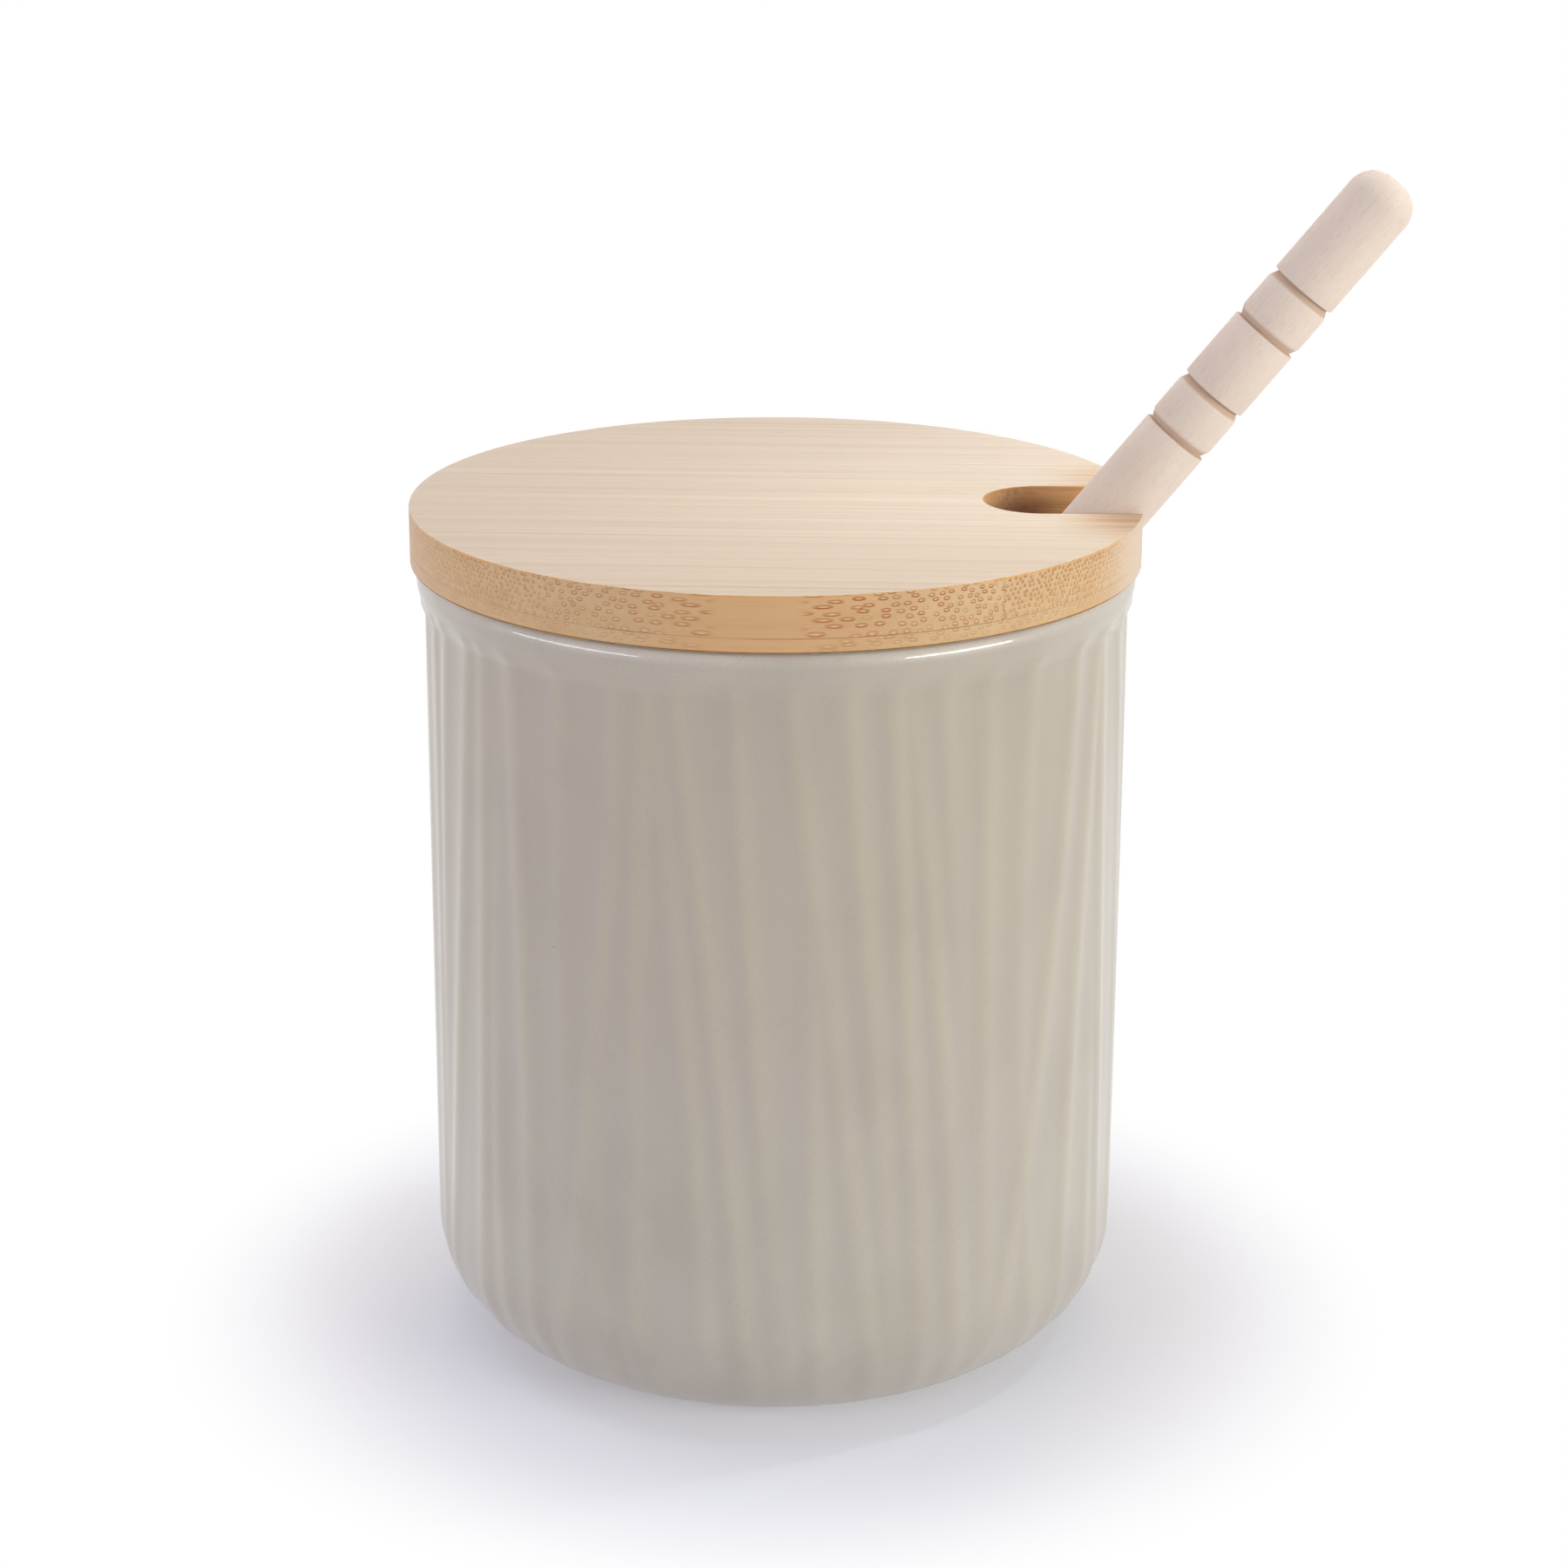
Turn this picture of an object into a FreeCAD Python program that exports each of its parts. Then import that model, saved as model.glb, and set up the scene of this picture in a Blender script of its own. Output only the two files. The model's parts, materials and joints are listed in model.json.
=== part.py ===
import FreeCAD, Part
import Sketcher
import math
import os

# Driving sizes, in millimetres and degrees.
SIZES = {
    # Stoneware pot
    "body_radius": 42.2,
    "pot_height": 98.5,
    "wall": 3.0,
    "floor": 5.0,
    "base_corner": 14.4,
    "inside_corner": 10.0,
    # Drawn ridges on the outside of the pot
    "ridge_relief": 0.45,
    "ridge_spread": 1.5,
    # Rolled rim at the mouth
    "rim_band": 5.9,
    "rim_projection": 1.1,
    "lip_round_width": 1.4,
    "lip_round_height": 1.5,
    "mouth_bevel_width": 1.95,
    "mouth_bevel_height": 2.7,
    # Two-ply bamboo lid
    "lid_overhang": 0.7,
    "lid_edge_ease": 0.5,
    "face_ply": 4.9,
    "back_flange": 1.74,
    "plug_depth": 3.16,
    "plug_gap": 0.5,
    "strip_width": 23.87,
    "face_edge_strip": 8.195,
    "back_edge_strip": 20.13,
    "slot_width": 13.6,
    "slot_length": 19.16,
    # Wooden dipper
    "dipper_length": 169.7,
    "handle_radius": 4.23,
    "tip_round": 3.4,
    "lean_angle": 50.87,
    "first_groove": 17.2,
    "groove_pair_step": 6.0,
    "groove_pair_pitch": 16.2,
    "groove_radius": 0.55,
    "head_radius": 10.5,
    "head_end_radius": 4.8,
    "disc_count": 7,
    "disc_thickness": 2.6,
    "disc_gap": 2.0,
    # Room between the dipper and what it leans on
    "rest_gap": 0.25,
    "side_gap": 0.35,
    "head_gap": 0.35,
}

# Each ridge of the front half: its bearing in degrees from the front at the top, middle and
# bottom of the wall, and how strong it is there. The back half carries the same ridges.
RIDGES = [
    ((-79.0, -80.0, -82.0), (1.0, 1.0, 1.0)),
    ((-72.0, -73.0, -75.5), (1.0, 0.9, 1.0)),
    ((-66.0, -70.0, -73.0), (1.0, 0.6, 0.0)),
    ((-57.5, -63.0, -69.5), (0.8, 1.0, 1.0)),
    ((-52.5, -54.5, -57.0), (0.6, 1.0, 1.0)),
    ((-48.0, -51.0, -50.0), (0.0, 0.5, 0.8)),
    ((-45.5, -43.5, -43.0), (0.9, 1.0, 1.0)),
    ((-35.5, -35.5, -37.0), (1.0, 0.7, 0.0)),
    ((-25.5, -29.0, -36.5), (1.0, 1.0, 1.0)),
    ((-27.0, -28.8, -28.5), (0.0, 0.4, 1.0)),
    ((-20.0, -22.3, -22.5), (0.9, 1.0, 1.0)),
    ((-19.5, -14.0, -11.0), (0.6, 0.9, 0.9)),
    ((-15.5, -9.0, -4.5), (1.0, 1.0, 1.0)),
    ((-6.3, -2.7, 1.5), (1.0, 1.0, 0.3)),
    ((2.3, 9.5, 16.0), (1.0, 0.9, 1.0)),
    ((5.5, 6.0, 7.0), (0.0, 0.8, 1.0)),
    ((11.0, 15.7, 19.5), (1.0, 1.0, 0.3)),
    ((18.5, 21.5, 24.7), (1.0, 1.0, 1.0)),
    ((27.0, 30.5, 33.0), (1.0, 0.2, 0.0)),
    ((20.5, 27.3, 31.0), (0.4, 1.0, 1.0)),
    ((35.0, 35.6, 36.5), (1.0, 1.0, 0.4)),
    ((44.0, 43.0, 47.5), (1.0, 0.6, 0.8)),
    ((55.5, 48.8, 38.5), (1.0, 1.0, 1.0)),
    ((63.0, 57.5, 55.0), (0.9, 1.0, 1.0)),
    ((64.5, 67.5, 70.5), (1.0, 1.0, 0.8)),
    ((66.0, 64.8, 64.0), (0.0, 0.2, 1.0)),
    ((73.5, 79.0, 79.5), (1.0, 1.0, 1.0)),
    ((82.0, 86.0, 88.0), (1.0, 1.0, 1.0)),
    ((91.0, 93.0, 95.0), (1.0, 0.9, 1.0)),
]
# Shares of the ridged wall's height where the ridges' bearings are given
RIDGE_STATIONS = (1.0, 0.54, 0.11)
FRONT_BEARING = 270.0

# Fineness of the ridged skin
SKIN_STEPS = 240
CORNER_STEPS = 8
WALL_STEPS = 12
RIM_STEPS = 7
LIP_STEPS = 4
SKIN_DEGREE = 3
# How late the rim swells out above the wall: 1 follows a plain sine, more swells later
RIM_SWELL = 1.2
# Part of the base corner's turn over which the ridges die out
CORNER_FADE = (25.0, 65.0)
# Directions, from the wall round to the floor, in which the dipper's head may touch the pot
SEAT_DIRECTIONS = range(0, 91, 15)
NEAR = 1e-4

doc = FreeCAD.newDocument("honey_pot")
sheet = doc.addObject("Spreadsheet::Sheet", "sizes")
for row, (alias, number) in enumerate(SIZES.items(), start=1):
    sheet.set(f"A{row}", alias)
    sheet.set(f"B{row}", str(number))
    sheet.setAlias(f"B{row}", alias)
doc.recompute()


def size(alias):
    """Value of one cell of the sheet."""
    return float(sheet.get(alias))


def smooth(share):
    """Soft step from 0 to 1."""
    held = min(max(share, 0.0), 1.0)
    return held * held * (3.0 - 2.0 * held)


def add(kind, name, formulas):
    """A document object whose properties follow formulas on the sheet."""
    item = doc.addObject(kind, name)
    for prop, formula in formulas.items():
        item.setExpression(prop, formula)
    return item


def join(kind, name, base, tool):
    """A boolean of two objects."""
    item = doc.addObject(kind, name)
    item.Base = base
    item.Tool = tool
    return item


def fuse(name, shapes):
    """A union of several objects."""
    item = doc.addObject("Part::MultiFuse", name)
    item.Shapes = shapes
    return item


def disc_sketch(body, name, radius_formula):
    """A circle about the body's own axis, on its XY plane."""
    sketch = body.newObject("Sketcher::SketchObject", name)
    plane = next(item for item in body.Origin.OriginFeatures if item.Role == "XY_Plane")
    sketch.AttachmentSupport = [(plane, "")]
    sketch.MapMode = "FlatFace"
    start_radius = size("body_radius")
    sketch.addGeometry(Part.Circle(FreeCAD.Vector(), FreeCAD.Vector(0, 0, 1), start_radius), False)
    sketch.addConstraint(Sketcher.Constraint("Coincident", 0, 3, -1, 1))
    sketch.addConstraint(Sketcher.Constraint("Radius", 0, start_radius))
    sketch.setExpression("Constraints[1]", radius_formula)
    return sketch


def pad(body, name, radius_formula, length_formula, downward=False):
    """A round pad up or down from the body's XY plane."""
    feature = body.newObject("PartDesign::Pad", name)
    feature.Profile = disc_sketch(body, name + "_outline", radius_formula)
    feature.setExpression("Length", length_formula)
    feature.Reversed = downward
    return feature


def ease(body, name, base, heights, radius_formula):
    """Rounds the circular edges that lie at some heights of a feature."""
    doc.recompute()
    edges = []
    for number, edge in enumerate(base.Shape.Edges, start=1):
        box = edge.BoundBox
        if any(abs(box.ZMin - level) + abs(box.ZMax - level) < NEAR for level in heights):
            edges.append(f"Edge{number}")
    feature = body.newObject("PartDesign::Fillet", name)
    feature.Base = (base, edges)
    feature.setExpression("Radius", radius_formula)
    return feature


def through_stations(share, values):
    """Quadratic through three values given at the ridges' stations."""
    total = 0.0
    for here, value in zip(RIDGE_STATIONS, values):
        weight = 1.0
        for other in RIDGE_STATIONS:
            if other != here:
                weight *= (share - other) / (here - other)
        total += weight * value
    return total


def ridge_rise(bearing, height):
    """Share of the full relief at a place on the wall: 0 in a valley, 1 on a crest."""
    share = height / (size("pot_height") - size("rim_band"))
    heap = 0.0
    for bearings, strengths in RIDGES:
        middle = through_stations(share, bearings)
        strength = min(max(through_stations(share, strengths), 0.0), 1.0)
        for half_turn in (0.0, 180.0):
            away = (bearing - middle - half_turn + 180.0) % 360.0 - 180.0
            arc = math.radians(away) * size("body_radius")
            heap += (strength * math.exp(-(arc / size("ridge_spread")) ** 2)) ** 3
    return heap ** (1.0 / 3.0)


def outside_profile():
    """Radius, height, ridge share and rim swell of the pot's outside, from the foot up to the land."""
    body = size("body_radius")
    corner = size("base_corner")
    rim_foot = size("pot_height") - size("rim_band")
    widest = size("pot_height") - size("lip_round_height")
    rows = []
    for step in range(CORNER_STEPS + 1):
        turn = 90.0 * step / CORNER_STEPS
        share = smooth((turn - CORNER_FADE[0]) / (CORNER_FADE[1] - CORNER_FADE[0]))
        radius = body - corner + corner * math.sin(math.radians(turn))
        rows.append((radius, corner * (1.0 - math.cos(math.radians(turn))), share, 0.0))
    for step in range(1, WALL_STEPS + 1):
        rows.append((body, corner + (rim_foot - corner) * step / WALL_STEPS, 1.0, 0.0))
    for step in range(1, RIM_STEPS + 1):
        share = step / RIM_STEPS
        swell = size("rim_projection") * math.sin(math.pi / 2 * share) ** RIM_SWELL
        rows.append((body, rim_foot + (widest - rim_foot) * share, 1.0 - smooth(share), swell))
    for step in range(1, LIP_STEPS + 1):
        turn = math.radians(90.0 * step / LIP_STEPS)
        swell = size("rim_projection") - size("lip_round_width") * (1.0 - math.cos(turn))
        rows.append((body, widest + size("lip_round_height") * math.sin(turn), 0.0, swell))
    return rows


def skin_poles():
    """Control points of the ridged skin, ring by ring of bearings. Ridges and rim run into each other."""
    rows = outside_profile()
    poles = []
    for step in range(SKIN_STEPS):
        bearing = 360.0 * step / SKIN_STEPS
        turn = math.radians(bearing + FRONT_BEARING)
        line = []
        for radius, height, share, swell in rows:
            rise = share * size("ridge_relief") * ridge_rise(bearing, height) if share else 0.0
            heap = rise ** 3 + swell ** 3
            reach = radius + math.copysign(abs(heap) ** (1.0 / 3.0), heap)
            line.append(FreeCAD.Vector(reach * math.cos(turn), reach * math.sin(turn), height))
        poles.append(line)
    return poles


def ridged_skin():
    """The pot's outside as one closed solid, before it is hollowed."""
    poles = skin_poles()
    around_knots = list(range(SKIN_STEPS + 1))
    spans = len(poles[0]) - SKIN_DEGREE
    up_knots = list(range(spans + 1))
    up_mults = [SKIN_DEGREE + 1] + [1] * (spans - 1) + [SKIN_DEGREE + 1]
    surface = Part.BSplineSurface()
    surface.buildFromPolesMultsKnots(
        poles, [1] * len(around_knots), up_mults, around_knots, up_knots,
        True, False, SKIN_DEGREE, SKIN_DEGREE)
    side = surface.toShape()
    rings = [edge for edge in side.Edges if edge.BoundBox.ZLength < NEAR]
    caps = [Part.Face(Part.Wire([ring])).reversed() for ring in rings]
    solid = Part.Solid(Part.Shell([side] + caps))
    if solid.Volume < 0:
        solid.reverse()
    return solid


def make_pot():
    """Ridged stoneware pot, hollowed, with a bevelled mouth and a flat base."""
    skin = doc.addObject("Part::Feature", "pot_skin")
    skin.Shape = ridged_skin()
    cavity = doc.addObject("PartDesign::Body", "pot_cavity")
    cavity.setExpression("Placement.Base.z", "sizes.floor")
    space = pad(cavity, "cavity_space", "sizes.body_radius - sizes.wall", "sizes.pot_height")
    ease(cavity, "cavity_corner", space, [0.0], "sizes.inside_corner")
    slope = "sizes.mouth_bevel_width / sizes.mouth_bevel_height"
    bevel = add("Part::Cone", "mouth_bevel", {
        "Radius1": "sizes.body_radius - sizes.wall",
        "Radius2": f"sizes.body_radius - sizes.wall + sizes.mouth_bevel_width + sizes.wall * {slope}",
        "Height": "sizes.mouth_bevel_height + sizes.wall",
        "Placement.Base.z": "sizes.pot_height - sizes.mouth_bevel_height",
    })
    hollow = fuse("pot_hollow", [cavity, bevel])
    return [join("Part::Cut", "pot", skin, hollow)]


def make_slot():
    """Cutter for the slot that runs in from the lid's edge to a round end."""
    lid_radius = "(sizes.body_radius + sizes.rim_projection + sizes.lid_overhang)"
    end_x = f"{lid_radius} - sizes.slot_length + sizes.slot_width / 2"
    bottom = "sizes.pot_height - 2 * sizes.plug_depth"
    depth = "sizes.face_ply + sizes.back_flange + 4 * sizes.plug_depth"
    run = add("Part::Box", "slot_run", {
        "Length": "sizes.slot_length",
        "Width": "sizes.slot_width",
        "Height": depth,
        "Placement.Base.x": end_x,
        "Placement.Base.y": "-sizes.slot_width / 2",
        "Placement.Base.z": bottom,
    })
    end = add("Part::Cylinder", "slot_end", {
        "Radius": "sizes.slot_width / 2",
        "Height": depth,
        "Placement.Base.x": end_x,
        "Placement.Base.z": bottom,
    })
    return fuse("slot_cutter", [run, end])


def make_strips(board, label, seams):
    """Cuts a lid board at its glue lines into strips that lie side by side across Y."""
    lid_radius = "(sizes.body_radius + sizes.rim_projection + sizes.lid_overhang)"
    starts = [f"-1.5 * {lid_radius}"] + seams
    ends = seams + [f"1.5 * {lid_radius}"]
    strips = []
    for place, (near, far) in enumerate(zip(starts, ends), start=1):
        slab = add("Part::Box", f"{label}_slab_{place}", {
            "Length": f"3 * {lid_radius}",
            "Width": f"({far}) - ({near})",
            "Height": "2 * sizes.pot_height",
            "Placement.Base.x": f"-1.5 * {lid_radius}",
            "Placement.Base.y": near,
        })
        strips.append(join("Part::Common", f"{label}_{place}", board, slab))
    return strips


def make_lid():
    """Bamboo lid: a face ply over a back ply with a plug, each of glued strips, and a slot."""
    lid_radius = "sizes.body_radius + sizes.rim_projection + sizes.lid_overhang"
    slot = make_slot()
    face = doc.addObject("PartDesign::Body", "lid_face_board")
    face.setExpression("Placement.Base.z", "sizes.pot_height + sizes.back_flange")
    sheet_of_face = pad(face, "face_sheet", lid_radius, "sizes.face_ply")
    ease(face, "face_edge", sheet_of_face, [size("face_ply")], "sizes.lid_edge_ease")
    back = doc.addObject("PartDesign::Body", "lid_back_board")
    back.setExpression("Placement.Base.z", "sizes.pot_height")
    pad(back, "back_flange", lid_radius, "sizes.back_flange")
    plug = pad(back, "back_plug", "sizes.body_radius - sizes.wall - sizes.plug_gap", "sizes.plug_depth", True)
    ease(back, "back_edge", plug, [-size("plug_depth")], "sizes.lid_edge_ease")
    face_slotted = join("Part::Cut", "lid_face_slotted", face, slot)
    back_slotted = join("Part::Cut", "lid_back_slotted", back, slot)
    face_outer = f"{lid_radius} - sizes.face_edge_strip"
    back_outer = f"{lid_radius} - sizes.back_edge_strip"
    middle = "sizes.strip_width / 2"
    face_seams = [f"-({face_outer})", f"-{middle}", middle, face_outer]
    back_seams = [f"-({back_outer})", "0", back_outer]
    return (make_strips(face_slotted, "lid_face_strip", face_seams)
            + make_strips(back_slotted, "lid_back_strip", back_seams))


def make_handle():
    """Round stick, domed at its tip, that runs down into the last disc of the dipper's head."""
    handle = doc.addObject("PartDesign::Body", "dipper_handle")
    handle.setExpression("Placement.Base.z", "sizes.disc_thickness / 2")
    stick = pad(handle, "handle_stick", "sizes.handle_radius", "sizes.dipper_length - sizes.disc_thickness / 2")
    tip = size("dipper_length") - size("disc_thickness") / 2
    ease(handle, "handle_tip", stick, [tip], "sizes.tip_round")
    return handle


def make_head():
    """Egg-shaped head of discs that stand apart on the stick."""
    half = "(sizes.disc_count * (sizes.disc_thickness + sizes.disc_gap) - sizes.disc_gap) / 2"
    egg = add("Part::Ellipsoid", "head_egg", {
        "Radius1": f"{half} / sqrt(1 - (sizes.head_end_radius / sizes.head_radius) ^ 2)",
        "Radius2": "sizes.head_radius",
        "Radius3": "sizes.head_radius",
        "Placement.Base.z": half,
    })
    discs = []
    for place in range(int(size("disc_count"))):
        discs.append(add("Part::Cylinder", f"head_disc_{place + 1}", {
            "Radius": "sizes.head_radius",
            "Height": "sizes.disc_thickness",
            "Placement.Base.z": f"{place} * (sizes.disc_thickness + sizes.disc_gap)",
        }))
    return join("Part::Common", "dipper_head", egg, fuse("head_discs", discs))


def make_grooves():
    """Two pairs of turned grooves near the tip."""
    grooves = []
    for pair in range(2):
        for place in range(2):
            back = f"sizes.first_groove + {pair} * sizes.groove_pair_pitch + {place} * sizes.groove_pair_step"
            grooves.append(add("Part::Torus", f"groove_{2 * pair + place + 1}", {
                "Radius1": "sizes.handle_radius",
                "Radius2": "sizes.groove_radius",
                "Placement.Base.z": f"sizes.dipper_length - ({back})",
            }))
    return fuse("handle_grooves", grooves)


def dipper_place():
    """Where the dipper lies: on the rim's inner edge, against the slot's side and the pot's wall."""
    lean = math.radians(size("lean_angle"))
    along = (math.cos(lean), math.sin(lean))
    upward = (-math.sin(lean), math.cos(lean))
    aside = -(size("slot_width") / 2 - size("handle_radius") - size("side_gap"))
    inside = size("body_radius") - size("wall")

    def at_side(radius):
        return math.sqrt(radius ** 2 - aside ** 2)

    corners = [
        (at_side(inside + size("mouth_bevel_width")), size("pot_height")),
        (at_side(inside), size("pot_height") - size("mouth_bevel_height")),
    ]
    lift = max(x * upward[0] + z * upward[1] for x, z in corners)
    lift += size("handle_radius") + size("rest_gap")
    half = (size("disc_count") * (size("disc_thickness") + size("disc_gap")) - size("disc_gap")) / 2
    egg_half = half / math.sqrt(1 - (size("head_end_radius") / size("head_radius")) ** 2)
    bend = size("inside_corner")
    bend_middle = (-(at_side(inside) - bend), size("floor") + bend)
    middle = -math.inf
    for degrees in SEAT_DIRECTIONS:
        turn = math.radians(degrees)
        toward = (-math.cos(turn), -math.sin(turn))
        lengthwise = toward[0] * along[0] + toward[1] * along[1]
        crosswise = toward[0] * upward[0] + toward[1] * upward[1]
        reach = math.hypot(egg_half * lengthwise, size("head_radius") * crosswise)
        wall = toward[0] * bend_middle[0] + toward[1] * bend_middle[1] + bend - size("head_gap")
        middle = max(middle, (lift * crosswise + reach - wall) / -lengthwise)
    start = middle - half
    base = FreeCAD.Vector(
        lift * upward[0] + start * along[0], aside, lift * upward[1] + start * along[1])
    turned = FreeCAD.Rotation(FreeCAD.Vector(0, 1, 0), 90.0 - size("lean_angle"))
    return FreeCAD.Placement(base, turned)


def make_dipper():
    """Wooden honey dipper, leaning in the pot with its handle out through the slot."""
    blank = fuse("dipper_blank", [make_handle(), make_head()])
    dipper = join("Part::Cut", "dipper", blank, make_grooves())
    dipper.Placement = dipper_place()
    return [dipper]


def check(parts):
    """Stops if anything failed to build, or a sub-part is not one sound solid."""
    for item in doc.Objects:
        if "Invalid" in item.State or "Error" in item.State:
            raise RuntimeError(f"{item.Label} did not build")
    for part in parts:
        shape = part.Shape
        if shape.isNull() or not shape.isValid() or len(shape.Solids) != 1:
            raise RuntimeError(f"{part.Label} is not one valid solid")


def main():
    """Builds every sub-part and writes one file for each."""
    parts = make_pot() + make_lid() + make_dipper()
    doc.recompute()
    check(parts)
    os.makedirs("parts", exist_ok=True)
    for part in parts:
        part.Shape.exportStep(f"parts/{part.Label}.step")
        box = part.Shape.BoundBox
        print(part.Label, f"{part.Shape.Volume:.1f} mm3", f"x {box.XMin:.2f} {box.XMax:.2f}",
              f"y {box.YMin:.2f} {box.YMax:.2f}", f"z {box.ZMin:.2f} {box.ZMax:.2f}")


main()
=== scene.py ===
"""Honey pot: a ridged stoneware pot, a slotted bamboo lid and a turned wooden dipper."""

import json
import logging
import math
from dataclasses import dataclass
from enum import Enum

import bpy
import numpy as np
from mathutils import Matrix, Vector


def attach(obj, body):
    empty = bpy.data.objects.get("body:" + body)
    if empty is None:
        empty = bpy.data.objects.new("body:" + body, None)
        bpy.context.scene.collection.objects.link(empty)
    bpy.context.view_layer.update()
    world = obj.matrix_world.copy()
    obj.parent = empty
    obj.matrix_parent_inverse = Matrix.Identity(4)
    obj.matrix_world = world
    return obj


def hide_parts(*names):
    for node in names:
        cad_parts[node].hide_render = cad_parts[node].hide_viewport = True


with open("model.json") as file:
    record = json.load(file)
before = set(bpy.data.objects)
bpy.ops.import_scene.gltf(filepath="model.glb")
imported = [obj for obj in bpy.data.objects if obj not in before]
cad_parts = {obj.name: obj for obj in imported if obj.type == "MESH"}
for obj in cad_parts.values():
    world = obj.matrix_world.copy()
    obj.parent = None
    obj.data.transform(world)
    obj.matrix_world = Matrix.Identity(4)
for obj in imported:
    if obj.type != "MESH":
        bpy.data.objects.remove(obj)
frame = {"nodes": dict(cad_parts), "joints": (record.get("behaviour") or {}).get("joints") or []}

logging.basicConfig(level=logging.INFO, format="%(message)s")
LOG = logging.getLogger("honey_pot")

MM = 0.001
# Corners of a mesh that lie closer than this many millimetres are merged.
MERGE_DISTANCE = 0.0005
# The middle of Blender's noise, and how rough its finer detail is.
NOISE_MIDDLE = 0.5
NOISE_ROUGHNESS = 0.55
# Share of a painted line's half width that has its full strength.
LINE_CORE = 0.35
# Rays that see the plain white background, besides those of the camera.
MIRRORED_RAYS = ("Is Glossy Ray", "Is Transmission Ray")

Socket = bpy.types.NodeSocket
Value = float | Socket
Tone = tuple[float, float, float, float]
Span = tuple[float, float]
WHITE: Tone = (1.0, 1.0, 1.0, 1.0)


class Body(Enum):
    """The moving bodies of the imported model."""

    POT = "pot"
    LID = "lid"
    DIPPER = "dipper"


class Slot(Enum):
    """The record's material slots."""

    GLAZE = "stoneware_glaze"
    BAMBOO_FACE = "bamboo_face"
    BAMBOO_BACK = "bamboo_back"
    DIPPER_WOOD = "dipper_wood"


class Ply(Enum):
    """The two layers of the lid, named as their nodes are."""

    FACE = "lid_face_strip"
    BACK = "lid_back_strip"


def tone(red: int, green: int, blue: int) -> Tone:
    """Turns a colour as seen on a screen into the light that a shader works with.

    Args:
        red: Red, 0 to 255.
        green: Green, 0 to 255.
        blue: Blue, 0 to 255.

    Returns:
        The colour as four linear values.
    """
    shares = [channel / 255.0 for channel in (red, green, blue)]
    lit = [s / 12.92 if s <= 0.04045 else ((s + 0.055) / 1.055) ** 2.4 for s in shares]
    return lit[0], lit[1], lit[2], 1.0


def smooth(value: np.ndarray, start: float, full: float) -> np.ndarray:
    """Soft step of an array of values, from 0 at the start to 1 where it is full."""
    held = np.clip((value - start) / (full - start), 0.0, 1.0)
    return held * held * (3.0 - 2.0 * held)


def quarter_turn(rows: int) -> list[Span]:
    """Sine and cosine at even steps of a quarter turn."""
    return [(math.sin(turn), math.cos(turn)) for turn in np.linspace(0.0, math.pi / 2, rows)]


def deselect_all() -> None:
    """Leaves object mode with nothing selected."""
    if bpy.context.object and bpy.context.object.mode != "OBJECT":
        bpy.ops.object.mode_set(mode="OBJECT")
    bpy.ops.object.select_all(action="DESELECT")


def pick(piece: bpy.types.Object) -> None:
    """Selects one piece alone and makes it the active one.

    Args:
        piece: The piece to pick.
    """
    deselect_all()
    bpy.context.view_layer.objects.active = piece
    piece.select_set(True)


def edit_all(piece: bpy.types.Object) -> None:
    """Opens one piece in edit mode with its whole mesh selected.

    Args:
        piece: The piece to open.
    """
    pick(piece)
    bpy.ops.object.mode_set(mode="EDIT")
    bpy.ops.mesh.select_all(action="SELECT")


def close_edit(piece: bpy.types.Object, crease: float) -> None:
    """Merges doubles, turns the faces outwards and shades the piece smooth.

    Args:
        piece: The piece to finish.
        crease: Angle in degrees above which an edge stays sharp.
    """
    edit_all(piece)
    bpy.ops.mesh.remove_doubles(threshold=MERGE_DISTANCE * MM)
    bpy.ops.mesh.normals_make_consistent(inside=False)
    bpy.ops.object.mode_set(mode="OBJECT")
    bpy.ops.object.shade_smooth_by_angle(angle=math.radians(crease))


def settle(piece: bpy.types.Object) -> None:
    """Puts a piece's place and turn into its mesh, so that its object sits at the origin."""
    pick(piece)
    bpy.ops.object.transform_apply(location=True, rotation=True, scale=True)


def turn_on_lathe(name: str, outline: list[Span], steps: int) -> bpy.types.Object:
    """Turns an outline about Z: one point drawn out along the outline, then spun round.

    Args:
        name: The new piece's name.
        outline: Radius and height of each corner, in metres, in order.
        steps: How many faces go round.

    Returns:
        The turned piece, still to be closed.
    """
    deselect_all()
    bpy.ops.mesh.primitive_plane_add(size=MM, location=(0.0, 0.0, 0.0))
    piece = bpy.context.active_object
    piece.name = name
    bpy.ops.object.mode_set(mode="EDIT")
    bpy.ops.mesh.select_all(action="SELECT")
    bpy.ops.mesh.merge(type="CENTER")
    radius, height = outline[0]
    bpy.ops.transform.translate(value=(radius, 0.0, height))
    for next_radius, next_height in outline[1:]:
        step = (next_radius - radius, 0.0, next_height - height)
        bpy.ops.mesh.extrude_vertices_move(TRANSFORM_OT_translate={"value": step})
        radius, height = next_radius, next_height
    bpy.ops.mesh.select_all(action="SELECT")
    bpy.ops.mesh.spin(steps=steps, angle=math.tau, center=(0.0, 0.0, 0.0), axis=(0.0, 0.0, 1.0))
    bpy.ops.object.mode_set(mode="OBJECT")
    return piece


def apply_modifier(piece: bpy.types.Object, kind: str, **settings: object) -> None:
    """Adds a modifier, sets it and applies it.

    Args:
        piece: The piece to change.
        kind: Blender's name for the modifier.
        settings: The modifier's properties.
    """
    pick(piece)
    bpy.ops.object.modifier_add(type=kind)
    modifier = piece.modifiers[-1]
    for key, value in settings.items():
        setattr(modifier, key, value)
    bpy.ops.object.modifier_apply(modifier=modifier.name)


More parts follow.
